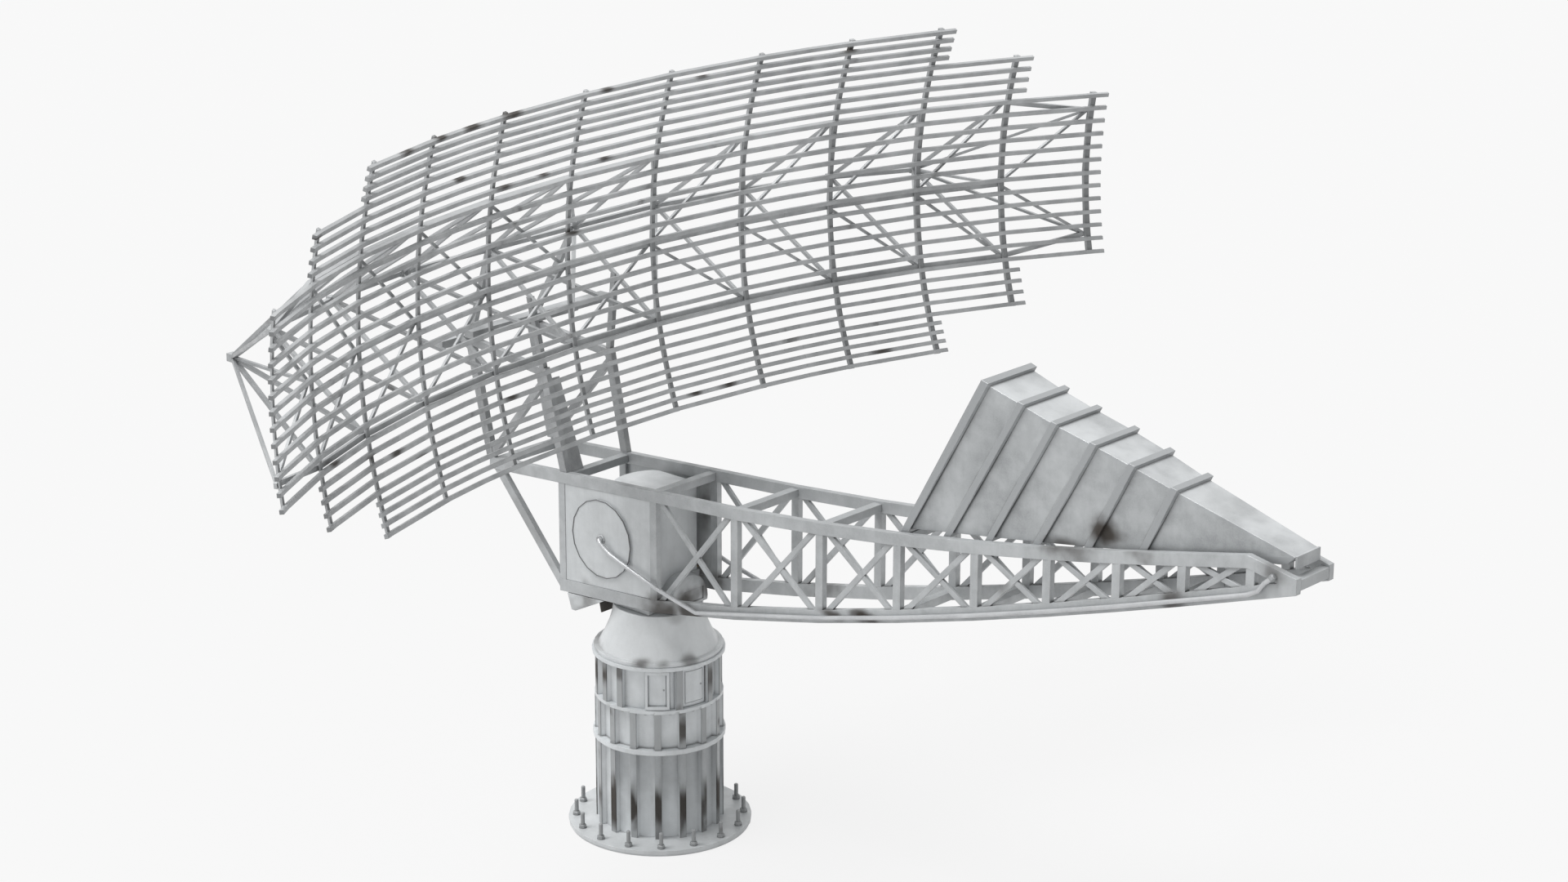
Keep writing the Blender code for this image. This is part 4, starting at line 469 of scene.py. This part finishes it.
def laySootAndShade(tree, look, spots, texture, colour):
    # gives the colour darkened by soot and by painted shade spots, and the mask of that darkening, or no mask
    # where there is none
    masks = []
    if look["drift"]:
        drift = placeEffect(tree, "sootDrift", {
            "Vector": texture["Object"], "Patch Size": look["patch"], "Cover": look["drift"]})
        masks.append(calc(tree, "MULTIPLY", drift["Mask"], coat["driftShare"]))
    for centre, radius, tall, strength in spots:
        spot = placeEffect(tree, "sootSpot", {
            "Vector": texture["Object"], "Centre": centre, "Radius": radius, "Tall": tall,
            "Strength": strength})
        masks.append(spot["Mask"])
    if not masks:
        return colour, None
    sootShadeMask = masks[0]
    for mask in masks[1:]:
        sootShadeMask = calc(tree, "MAXIMUM", sootShadeMask, mask)
    if "ribRadius" in look:
        ribs = placeEffect(tree, "ribSoot", {
            "Vector": texture["Object"], "Normal": texture["Normal"],
            "Radius": look["ribRadius"], "Limit": look["ribLimit"],
            "Lower Joint": look["lowerJoint"], "Upper Joint": look["upperJoint"]})
        colour = blendColour(tree, calc(tree, "MULTIPLY", ribs["Face"], coat["ribShare"]),
                             colour, toned(look["dark"], coat["ribDark"]))
        sootShadeMask = calc(tree, "MULTIPLY", sootShadeMask, ribs["Face"])
        sootShadeMask = calc(tree, "MAXIMUM", sootShadeMask,
                    calc(tree, "MULTIPLY", ribs["Mask"], coat["ribSoot"]))
    return blendColour(tree, sootShadeMask, colour, toned(coat["sootColour"])), sootShadeMask


def makeFinish(name, look, spots=()):
    material = bpy.data.materials.new(name)
    material.use_nodes = True
    tree = material.node_tree
    shader = tree.nodes["Principled BSDF"].inputs
    texture = addNode(tree, "ShaderNodeTexCoord").outputs
    paint = placeEffect(tree, "cloudedPaint", {
        "Vector": texture["Object"], "Cloud Size": look["cloud"], "Blotch Size": look["blotch"],
        "Grain Size": look["grain"]})
    edgeWearHighlight = placeEffect(tree, "wornEdge", {"Radius": look["edge"]})
    colour = layPaint(tree, look, texture, paint)
    colour = layWear(tree, look, colour, paint, edgeWearHighlight)
    colour, sootShadeMask = laySootAndShade(tree, look, spots, texture, colour)
    tree.links.new(colour, shader["Base Color"])
    lowRough, highRough = look["rough"]
    rough = remap(tree, paint["Blotches"], 0.0, 1.0, highRough, lowRough, False)
    if sootShadeMask is not None:
        rough = calc(tree, "ADD", rough, calc(tree, "MULTIPLY", sootShadeMask, coat["sootRough"]), True)
    tree.links.new(rough, shader["Roughness"])
    if sootShadeMask is not None and look["metal"]:
        clean = calc(tree, "SUBTRACT", 1.0, sootShadeMask)
        tree.links.new(calc(tree, "MULTIPLY", clean, look["metal"]), shader["Metallic"])
    else:
        shader["Metallic"].default_value = look["metal"]
    bump = addNode(tree, "ShaderNodeBump", {}, {
        "Height": paint["Grain"], "Normal": edgeWearHighlight["Normal"], "Strength": coat["bumpStrength"],
        "Distance": coat["bumpDistance"]})
    tree.links.new(bump.outputs["Normal"], shader["Normal"])
    return material


# dark spots on single pieces, soot from smoke and, where marked, painted shade: place, radius, stretch upwards,
# strength
sootAndShadeSpots = {
    "horn": [
        ((3.64, -0.2, 2.9), 0.17, 0.8, 1.0), ((3.36, -0.21, 2.76), 0.2, 0.35, 0.75),
        ((4.3, 0.05, 3.2), 0.3, 1.0, 0.1),
    ],
    "boom": [
        # the first two spots are on the gear case: soot low on its face, then painted shade down its right edge
        ((0.245, 0.0, 1.58), 0.17, 0.7, 0.9), ((0.245, 0.22, 1.62), 0.12, 1.0, 0.7),
        ((0.57, -0.29, 1.65), 0.18, 0.5, 0.9), ((3.4, -0.29, 2.8), 0.26, 0.5, 0.75),
        ((3.9, -0.29, 2.86), 0.16, 0.7, 0.8), ((1.99, -0.31, 2.0), 0.2, 0.3, 1.0),
        ((1.72, -0.31, 1.95), 0.14, 0.3, 0.9), ((4.13, -0.24, 2.65), 0.14, 0.8, 0.8),
        ((4.74, -0.2, 2.95), 0.12, 1.0, 0.6), ((0.32, -0.29, 1.59), 0.27, 0.6, 0.9),
        ((2.98, -0.28, 2.45), 0.09, 1.2, 0.8), ((1.2, 0.31, 1.8), 0.2, 1.0, 0.6),
        ((-0.89, -0.29, 1.92), 0.4, 1.3, 0.3),
    ],
    "head": [
        # the first spot is painted shadow on the far side plate's inner face beside the head; the second is soot
        # with painted shade by the gear case
        ((0.15, 0.265, 2.12), 0.1, 3.0, 0.75), ((0.3, -0.29, 1.62), 0.18, 0.7, 0.9),
        # the first spot is soot with painted shade by the gear case; the second is painted shade under the boom by
        # the rear tray
        ((0.26, -0.1, 1.54), 0.2, 0.6, 0.8), ((-0.35, -0.13, 1.4), 0.3, 1.0, 0.85),
    ],
    "cone": [
        ((-0.3, -0.27, 1.225), 0.22, 0.25, 0.55), ((0.19, -0.36, 1.235), 0.1, 0.6, 0.75),
        ((0.31, -0.27, 1.235), 0.07, 0.6, 0.6), ((0.37, -0.1, 1.235), 0.1, 0.6, 0.6),
        # the spot at the top is painted shade under the head, with some soot
        ((0.24, -0.1, 1.5), 0.12, 0.6, 0.3),
    ],
    "tower": [
        # the second spot is painted shade that darkens the far leg
        ((-0.62, -0.42, 3.36), 0.16, 0.5, 0.8), ((-0.3, 0.28, 2.9), 0.45, 2.0, 0.45),
    ],
    "lattice": [
        ((0.11, 2.01, 2.73), 0.11, 0.35, 0.95), ((-0.16, 0.81, 2.73), 0.12, 0.35, 0.95),
        ((-0.16, 0.52, 2.73), 0.08, 0.35, 0.95), ((0.08, -2.21, 3.06), 0.1, 0.35, 0.95),
        ((0.32, -2.88, 3.22), 0.08, 0.35, 0.95), ((-0.17, -0.22, 4.82), 0.08, 0.35, 0.95),
        ((-0.35, -0.37, 3.93), 0.1, 0.35, 0.95), ((-0.25, -1.02, 4.36), 0.11, 0.35, 0.95),
        ((-0.31, -0.12, 4.36), 0.1, 0.35, 0.95), ((-0.29, -0.67, 4.36), 0.08, 0.35, 0.95),
        ((-0.14, -1.48, 4.51), 0.08, 0.35, 0.95), ((-0.21, -1.03, 3.06), 0.1, 0.35, 0.95),
        ((0.47, -3.06, 4.57), 0.08, 0.35, 0.95), ((0.16, -2.46, 3.1), 0.12, 0.35, 0.95),
        ((0.15, -2.1, 4.83), 0.13, 0.35, 0.95), ((0.03, -1.75, 4.83), 0.09, 0.35, 0.95),
        ((-0.05, -1.45, 4.83), 0.13, 0.35, 0.95), ((-0.11, -1.05, 4.83), 0.14, 0.35, 0.95),
        ((0.0, 1.78, 4.78), 0.1, 0.35, 0.95), ((-0.18, 0.62, 4.77), 0.08, 0.35, 0.95),
        ((0.02, -1.99, 2.95), 0.12, 0.35, 0.95),
    ],
    "drum": [
        ((-0.22, -0.35, 1.08), 0.09, 1.6, 0.95), ((-0.09, -0.4, 1.09), 0.07, 1.5, 0.95),
        ((0.05, -0.41, 1.15), 0.06, 1.3, 0.7), ((0.4, 0.05, 1.08), 0.08, 1.6, 0.8),
        ((-0.2, 0.36, 0.4), 0.25, 1.4, 0.5), ((0.37, -0.17, 0.78), 0.1, 1.1, 0.9),
    ],
}

materialOf = {}
for short, name in (("boom", "boomPaint"), ("horn", "hornPaint"), ("head", "headPaint"),
                    ("base", "basePaint"), ("cone", "conePaint"), ("drum", "drumPaint"),
                    ("tower", "towerPaint"), ("lattice", "latticePaint"), ("zinc", "zincSteel"),
                    ("pipe", "pipeMetal"), ("sooted", "sootedSteel"),
                    ("rubber", "gasketRubber"), ("gear", "gearSteel"),
                    ("bronze", "bronzeMetal"), ("motor", "motorEnamel")):
    materialOf[short] = makeFinish(name, finishes[name], sootAndShadeSpots.get(short, ()))
print("finishes made:", len(materialOf))

finishOfSlot = {"pedestal_paint": "drum", "head_paint": "head", "boom_paint": "boom",
                "lattice_paint": "lattice", "zinc": "zinc", "gear_steel": "gear",
                "bronze": "bronze", "motor_enamel": "motor"}
finishOfNode = {"feed_horn": "horn", "horn_throat": "horn", "bearing_cone": "cone",
                "base_flange": "base", "foundation_plate": "base", "feed_pipe_near": "pipe",
                # the head's rear tray takes the near-black paint: painted shade under the boom, with soot
                "feed_pipe_far": "pipe", "head_rear_tray": "sooted",
                # the gear case takes the darker boom paint, as painted shade from the side plate's shadow over it
                "elevation_gearbox": "boom", "tower_near": "tower", "tower_far": "tower",
                "tower_platform": "tower", "tower_duct": "tower"}


def finishFor(node):
    return materialOf[finishOfNode.get(node) or finishOfSlot[slotOf[node]]]


for name, node in nodeOf.items():
    node.data.materials.clear()
    node.data.materials.append(finishFor(name))
print("finishes laid on the frame")


def setPiece(shape, name, material, body, smoothAngle=35.0, stands=()):
    # turns a bmesh into a piece that rides on a body and may stand for frame nodes
    mesh = bpy.data.meshes.new(name)
    bmesh.ops.recalc_face_normals(shape, faces=shape.faces[:])
    shape.to_mesh(mesh)
    shape.free()
    mesh.shade_smooth()
    mesh.set_sharp_from_angle(angle=math.radians(smoothAngle))
    mesh.materials.append(material)
    piece = bpy.data.objects.new(name, mesh)
    scene.collection.objects.link(piece)
    even = piece.modifiers.new("evenShading", "WEIGHTED_NORMAL")
    even.keep_sharp = True
    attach(piece, body)
    if stands:
        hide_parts(*stands)


def bevelSharp(shape, width, angle=40.0):
    edges = [edge for edge in shape.edges
             if edge.is_manifold and edge.calc_face_angle(0.0) > math.radians(angle)]
    bmesh.ops.bevel(shape, geom=edges, offset=width, offset_type="OFFSET", segments=2,
                    profile=0.5, affect="EDGES", clamp_overlap=True, material=-1)


def mergeNear(shape, reach=0.00001):
    bmesh.ops.remove_doubles(shape, verts=shape.verts[:], dist=reach)


def markStrips(shape, narrow, wide, least=0.0001):
    # flags the faces of narrow strips, so that a finish can tone them
    layer = shape.faces.layers.float.new("band")
    for face in shape.faces:
        width = 2.0 * face.calc_area() / max(face.calc_perimeter(), least)
        face[layer] = 1.0 if narrow < width < wide else 0.0


def markUprights(shape, facing=0.9):
    # flags the faces that run up and down, so that a finish can tone the ribs behind the bars
    layer = shape.faces.layers.float.new("band")
    for face in shape.faces:
        across = [v.co.y for v in face.verts]
        along = [v.co.z for v in face.verts]
        upright = max(along) - min(along) > max(across) - min(across)
        face[layer] = 1.0 if upright and abs(face.normal.y) < facing else 0.0


def markAbove(shape, level):
    # flags the faces above a level
    layer = shape.faces.layers.float.new("band")
    for face in shape.faces:
        face[layer] = 1.0 if face.calc_center_median().z > level else 0.0


softened = {"merge": 0.00004, "flatAngle": 0.6}


def refined(node, bevel=0.0, smoothAngle=35.0, strips=None, uprights=False):
    # a merged, softened copy of a frame node that stands for it
    shape = bmesh.new()
    shape.from_mesh(nodeOf[node].data)
    mergeNear(shape, softened["merge"])
    bmesh.ops.dissolve_limit(shape, angle_limit=math.radians(softened["flatAngle"]),
                             verts=shape.verts[:], edges=shape.edges[:])
    if bevel:
        bevelSharp(shape, bevel)
    if strips:
        markStrips(shape, *strips)
    if uprights:
        markUprights(shape)
    first, *rest = node.split("_")
    label = first + "".join(word.capitalize() for word in rest)
    setPiece(shape, label, finishFor(node), bodyOf[node], smoothAngle, (node,))


def addBar(shape, start, end, wide):
    # a square bar between two points
    run = end - start
    made = bmesh.ops.create_cube(shape, size=1.0)["verts"]
    turn = run.to_track_quat("Z", "Y").to_matrix().to_4x4()
    size = Matrix.Diagonal((wide, wide, run.length, 1.0))
    bmesh.ops.transform(shape, matrix=Matrix.Translation((start + end) / 2) @ turn @ size,
                        verts=made)


def addDisc(shape, foot, direction, radius, height, steps=24, topRadius=None):
    # a disc, prism or taper that stands on its foot point
    top = radius if topRadius is None else topRadius
    made = bmesh.ops.create_cone(shape, cap_ends=True, cap_tris=False, segments=steps,
                                 radius1=radius, radius2=top, depth=height)["verts"]
    turn = Vector(direction).to_track_quat("Z", "Y").to_matrix().to_4x4()
    middle = Vector(foot) + Vector(direction).normalized() * height / 2
    bmesh.ops.transform(shape, matrix=Matrix.Translation(middle) @ turn, verts=made)


hexCorner = 0.577  # a hexagon's corner radius, for a width of 1 across its flats


# refined copies of round and flat-sided frame pieces, each with its edge rounding

refinedNodes = {
    "base_flange": 0.0, "drum_lower": 0.0, "drum_upper": 0.0, "bearing_cone": 0.003,
    "access_door": 0.0, "service_hatch": 0.0, "head_housing": 0.006,
    "trunnion_cover_near": 0.0012, "trunnion_cover_far": 0.0012,
    "trunnion_bearing_near": 0.001, "trunnion_bearing_far": 0.001, "king_tube": 0.002,
    "slip_ring_drum": 0.0, "azimuth_motor": 0.0, "azimuth_bearing_ring": 0.0,
    "drum_deck": 0.0, "horn_throat": 0.002, "boom_nose": 0.004, "side_plate_near": 0.0,
    "side_plate_far": 0.0, "rear_bracket": 0.002, "head_rear_tray": 0.001,
    "elevation_gearbox": 0.0015,
}
hornBands = {"bevel": 0.0014, "strips": (0.012, 0.048)}
pipes = {"smoothAngle": 60.0, "glandRadius": 0.021, "glandLength": 0.022, "collarShare": 0.8,
         "collarLength": 0.35, "collarTop": 0.7, "collarSteps": 20, "nutAcross": 0.046,
         "nutHeight": 0.014, "noseReach": 0.030, "kneeReach": 0.075, "bevel": 0.0008}
reflector = {"smoothAngle": 25.0}

for node, bevel in refinedNodes.items():
    refined(node, bevel)
refined("feed_horn", hornBands["bevel"], strips=hornBands["strips"])
for node in ("feed_pipe_near", "feed_pipe_far"):
    refined(node, smoothAngle=pipes["smoothAngle"])
for part in ("centre", "near", "far"):
    refined("reflector_" + part, smoothAngle=reflector["smoothAngle"], uprights=True)
print("refined copies made")


# seals and glands of the trunnion covers and feed pipes; the dark seal rings paint the shadow line round each
# cover

covers = {"sealGap": 0.0006, "sealWidth": 0.0050, "sealHeight": 0.0070, "sealFoot": 0.0110,
          "sealSides": 18}


def addRing(shape, centre, inner, outer, height, side, steps):
    # a flat ring round an axis along y
    near = centre.y
    far = centre.y + side * height
    line = [(outer, near), (outer, far), (inner, far), (inner, near)]
    points = [shape.verts.new((centre.x + reach, y, centre.z)) for reach, y in line]
    edges = [shape.edges.new(pair) for pair in zip(points, points[1:] + points[:1])]
    bmesh.ops.spin(shape, geom=points + edges, cent=centre, axis=(0.0, 1.0, 0.0),
                   angle=2 * math.pi, steps=steps, use_merge=True)


def coverFace(name, side, depth=0.0):
    # the middle of a trunnion cover's outer face, or a point that deep behind it
    low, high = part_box("trunnion_cover_" + name)
    face = low.y if side < 0 else high.y
    return Vector(((low.x + high.x) / 2, face - side * depth, (low.z + high.z) / 2))


def buildSeal(name, side, values):
    low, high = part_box("trunnion_cover_" + name)
    radius = (high.z - low.z) / 2
    shape = bmesh.new()
    addRing(shape, coverFace(name, side, values["sealFoot"]), radius + values["sealGap"],
            radius + values["sealWidth"], values["sealHeight"], side, values["sealSides"])
    mergeNear(shape)
    # dark seal ring: painted shadow line round the trunnion cover
    setPiece(shape, "coverSeal" + name.capitalize(), materialOf["rubber"], "antenna")


def pipeNose(name, values):
    # the middle of the pipe's front end, and the way the pipe runs there
    points = [v.co for v in nodeOf["feed_pipe_" + name].data.vertices]
    reach = max(point.x for point in points)
    nose = [point for point in points if point.x > reach - values["noseReach"]]
    knee = [point for point in points
            if reach - values["kneeReach"] < point.x < reach - values["noseReach"]]
    tip = sum(nose, Vector()) / len(nose)
    return tip, (tip - sum(knee, Vector()) / len(knee)).normalized()


def buildGlands(name, side, values):
    shape = bmesh.new()
    addDisc(shape, coverFace(name, side), (0.0, side, 0.0), values["nutAcross"] * hexCorner,
            values["nutHeight"], 6)
    tip, ahead = pipeNose(name, values)
    half = ahead * values["glandLength"] / 2
    addDisc(shape, tip - half, ahead, values["glandRadius"], values["glandLength"], 6)
    addDisc(shape, tip + half, ahead, values["glandRadius"] * values["collarShare"],
            values["glandLength"] * values["collarLength"], values["collarSteps"],
            values["glandRadius"] * values["collarTop"])
    bevelSharp(shape, values["bevel"])
    setPiece(shape, "pipeGlands" + name.capitalize(), materialOf["zinc"], "antenna")


for name, side in (("near", -1.0), ("far", 1.0)):
    buildSeal(name, side, covers)
    buildGlands(name, side, pipes)
print("seals and glands fitted")


# bolts under the drum's joint flange; shares are of the width across flats or the height

jointBolts = {
    "count": 16, "firstTurn": 9.25, "circle": 0.396, "across": 0.019, "height": 0.008,
    "flange": 0.0233, "washerRadius": 0.62, "washerHeight": 0.18, "washerSteps": 20,
    "headHeight": 0.62, "crownHeight": 0.2, "crownRadius": 0.47,
}


def buildJointBolts(values):
    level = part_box("drum_lower")[1].z - values["flange"]
    down = Vector((0.0, 0.0, -1.0))
    across = values["across"]
    height = values["height"]
    shape = bmesh.new()
    for k in range(values["count"]):
        turn = math.radians(values["firstTurn"] + 360.0 * k / values["count"])
        spot = Vector((values["circle"] * math.cos(turn), values["circle"] * math.sin(turn),
                       level))
        addDisc(shape, spot, down, across * values["washerRadius"],
                height * values["washerHeight"], values["washerSteps"])
        foot = spot + down * height * values["washerHeight"]
        addDisc(shape, foot, down, across * hexCorner, height * values["headHeight"], 6)
        addDisc(shape, foot + down * height * values["headHeight"], down, across * hexCorner,
                height * values["crownHeight"], 6, across * values["crownRadius"])
    setPiece(shape, "drumJointBolts", materialOf["zinc"], "pedestal")


# slotted quarter-turn latches by the free edges of the two leaves

latches = {"radius": 0.0062, "height": 0.0032, "sink": 0.0030, "inset": 0.014,
           "slotHalf": 0.0042, "slotWide": 0.0014, "bevel": 0.0006, "freeShare": 0.9}


def buildLatch(node, label, values):
    hinge = next(joint for joint in frame["joints"] if joint["child"] == bodyOf[node])
    pivot = Vector((hinge["pos_m"][0], hinge["pos_m"][1], 0.0))
    low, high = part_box(node)
    rim = [Vector((v.co.x, v.co.y, 0.0)) for v in nodeOf[node].data.vertices]
    reach = max((point - pivot).length for point in rim)
    free = [point for point in rim if (point - pivot).length > values["freeShare"] * reach]
    edge = max(free, key=lambda point: point.length)
    outward = (edge + (pivot - edge).normalized() * values["inset"]).normalized()
    spot = outward * edge.length
    spot.z = (low.z + high.z) / 2
    shape = bmesh.new()
    addDisc(shape, spot - outward * values["sink"], outward, values["radius"],
            values["sink"] + values["height"])
    bevelSharp(shape, values["bevel"])
    face = spot + outward * values["height"]
    slot = Vector((0.0, 0.0, values["slotHalf"]))
    addBar(shape, face - slot, face + slot, values["slotWide"])
    setPiece(shape, label, materialOf["zinc"], bodyOf[node])


buildJointBolts(jointBolts)
buildLatch("access_door", "accessDoorLatch", latches)
buildLatch("service_hatch", "serviceHatchLatch", latches)
print("bolts and latches fitted")


# foundation plate with its threaded studs, nuts and washers

foundation = {
    "plateBevel": 0.002, "plateGap": 0.0004, "plateSteps": 96, "studCircle": 0.539,
    "studCount": 16, "studRadius": 0.0135, "studSteps": 16, "studSink": 0.004,
    "threadPitch": 0.005, "threadDepth": 0.0011, "crestStart": 0.35, "crestEnd": 0.55,
    "tipChamfer": 0.003, "nutAcross": 0.042, "nutHeight": 0.020, "nutBody": 0.84,
    "nutCrown": 0.5, "washerRadius": 0.0255, "washerHeight": 0.004, "washerGap": 0.0003,
    "smoothAngle": 30.0,
}


def addStud(shape, spot, foot, top, values):
    # a threaded stud spun from its side line
    radius = values["studRadius"]
    root = radius - values["threadDepth"]
    pitch = values["threadPitch"]
    line = [(0.0, foot), (root, foot)]
    level = foot
    while level + pitch < top - values["tipChamfer"]:
        line.append((radius, level + pitch * values["crestStart"]))
        line.append((radius, level + pitch * values["crestEnd"]))
        line.append((root, level + pitch))
        level += pitch
    line.append((root, top - values["tipChamfer"]))
    line.append((radius - values["tipChamfer"], top))
    line.append((0.0, top))
    points = [shape.verts.new((spot[0] + x, spot[1], z)) for x, z in line]
    edges = [shape.edges.new(pair) for pair in zip(points, points[1:])]
    bmesh.ops.spin(shape, geom=points + edges, cent=(*spot, 0.0), axis=(0.0, 0.0, 1.0),
                   angle=2 * math.pi, steps=values["studSteps"], use_merge=True)


def buildFoundation(values):
    up = Vector((0.0, 0.0, 1.0))
    low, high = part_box("foundation_plate")
    flangeLow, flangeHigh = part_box("base_flange")
    shape = bmesh.new()
    addDisc(shape, (0.0, 0.0, low.z), up, high.x, flangeLow.z - low.z - values["plateGap"],
            values["plateSteps"])
    bevelSharp(shape, values["plateBevel"])
    nutFoot = flangeHigh.z + values["washerHeight"]
    nutRadius = values["nutAcross"] * hexCorner
    nutBody = values["nutHeight"] * values["nutBody"]
    for k in range(values["studCount"]):
        turn = 2 * math.pi * k / values["studCount"]
        spot = (values["studCircle"] * math.cos(turn), values["studCircle"] * math.sin(turn))
        addStud(shape, spot, flangeHigh.z - values["studSink"], high.z, values)
        addDisc(shape, (*spot, flangeHigh.z + values["washerGap"]), up, values["washerRadius"],
                values["washerHeight"] - values["washerGap"])
        addDisc(shape, (*spot, nutFoot), up, nutRadius, nutBody, 6)
        addDisc(shape, (*spot, nutFoot + nutBody), up, nutRadius,
                values["nutHeight"] - nutBody, 6, values["nutAcross"] * values["nutCrown"])
    mergeNear(shape)
    markAbove(shape, flangeLow.z)
    setPiece(shape, "foundationPlateAndStuds", materialOf["base"], "pedestal",
             values["smoothAngle"], ("foundation_plate",))


buildFoundation(foundation)
print("foundation studs turned:", foundation["studCount"])


# floor, light and camera

studio = {
    "floorColour": (0.58, 0.58, 0.58, 1.0), "backdrop": (0.931, 0.931, 0.931, 1.0),
    "floorShow": 0.12, "floorGlow": 1.012, "floorHalf": 150.0, "floorCuts": 8,
    "floorDrop": 0.001,
    "skyColour": (1.0, 1.0, 1.0, 1.0), "skyToward": (-0.45, -0.20, 0.87), "skyLow": 0.0,
    "skyHigh": 1.05,
    "sunStrength": 2.7, "sunAngle": 28.0, "sunTurn": (27.0, 0.0, -33.0),
}


def buildFloor(values):
    shape = bmesh.new()
    bmesh.ops.create_grid(shape, x_segments=values["floorCuts"],
                          y_segments=values["floorCuts"], size=values["floorHalf"])
    mesh = bpy.data.meshes.new("studioFloor")
    shape.to_mesh(mesh)
    shape.free()
    floor = bpy.data.objects.new("studioFloor", mesh)
    scene.collection.objects.link(floor)
    floor.location.z = cadBox[0].z - values["floorDrop"]
    material = bpy.data.materials.new("studioFloor")
    material.use_nodes = True
    tree = material.node_tree
    tree.nodes.remove(tree.nodes["Principled BSDF"])
    matte = addNode(tree, "ShaderNodeBsdfDiffuse", {}, {"Color": values["floorColour"]})
    glow = addNode(tree, "ShaderNodeEmission", {}, {"Color": values["backdrop"],
                                                    "Strength": values["floorGlow"]})
    seen = addNode(tree, "ShaderNodeLightPath").outputs
    share = calc(tree, "MAXIMUM", seen["Is Camera Ray"], seen["Is Glossy Ray"])
    share = calc(tree, "MULTIPLY", share, 1.0 - values["floorShow"])
    mix = addNode(tree, "ShaderNodeMixShader", {},
                  {0: share, 1: matte.outputs[0], 2: glow.outputs[0]})
    tree.links.new(mix.outputs[0], tree.nodes["Material Output"].inputs["Surface"])
    floor.data.materials.append(material)


def buildLight(values):
    # a sky that is brighter on one side, seen only as the plain backdrop, and a broad soft sun
    world = bpy.data.worlds.new("studioWorld")
    scene.world = world
    world.use_nodes = True
    tree = world.node_tree
    background = tree.nodes["Background"]
    ahead = addNode(tree, "ShaderNodeTexCoord").outputs["Generated"]
    toward = vectorCalc(tree, "DOT_PRODUCT", ahead, values["skyToward"])
    glow = remap(tree, toward, -1.0, 1.0, values["skyLow"], values["skyHigh"], False)
    seen = addNode(tree, "ShaderNodeLightPath").outputs
    shown = calc(tree, "MAXIMUM", seen["Is Camera Ray"], seen["Is Transmission Ray"])
    shown = calc(tree, "MAXIMUM", shown, seen["Is Glossy Ray"])
    kept = calc(tree, "SUBTRACT", 1.0, shown)
    strength = calc(tree, "ADD", calc(tree, "MULTIPLY", glow, kept), shown)
    colour = blendColour(tree, shown, values["skyColour"], values["backdrop"])
    tree.links.new(colour, background.inputs["Color"])
    tree.links.new(strength, background.inputs["Strength"])
    light = bpy.data.lights.new("keySun", "SUN")
    light.energy = values["sunStrength"]
    light.angle = math.radians(values["sunAngle"])
    lamp = bpy.data.objects.new("keySun", light)
    lamp.rotation_euler = tuple(math.radians(part) for part in values["sunTurn"])
    scene.collection.objects.link(lamp)


camera = {"place": (14.692, -14.928, 9.571), "turn": (71.519, 0.16, 42.371), "lens": 81.17,
          "sensor": 36.0, "farthest": 500.0}


def buildCamera(values):
    data = bpy.data.cameras.new("viewCamera")
    data.lens = values["lens"]
    data.sensor_width = values["sensor"]
    data.clip_end = values["farthest"]
    holder = bpy.data.objects.new("viewCamera", data)
    holder.location = values["place"]
    tilt, roll, heading = (math.radians(part) for part in values["turn"])
    facing = (Matrix.Rotation(heading, 3, "Z") @ Matrix.Rotation(tilt, 3, "X")
              @ Matrix.Rotation(roll, 3, "Z"))
    holder.rotation_euler = facing.to_euler()
    scene.collection.objects.link(holder)
    scene.camera = holder


buildFloor(studio)
buildLight(studio)
buildCamera(camera)
scene.view_settings.view_transform = "Standard"
print("floor, light and camera set")
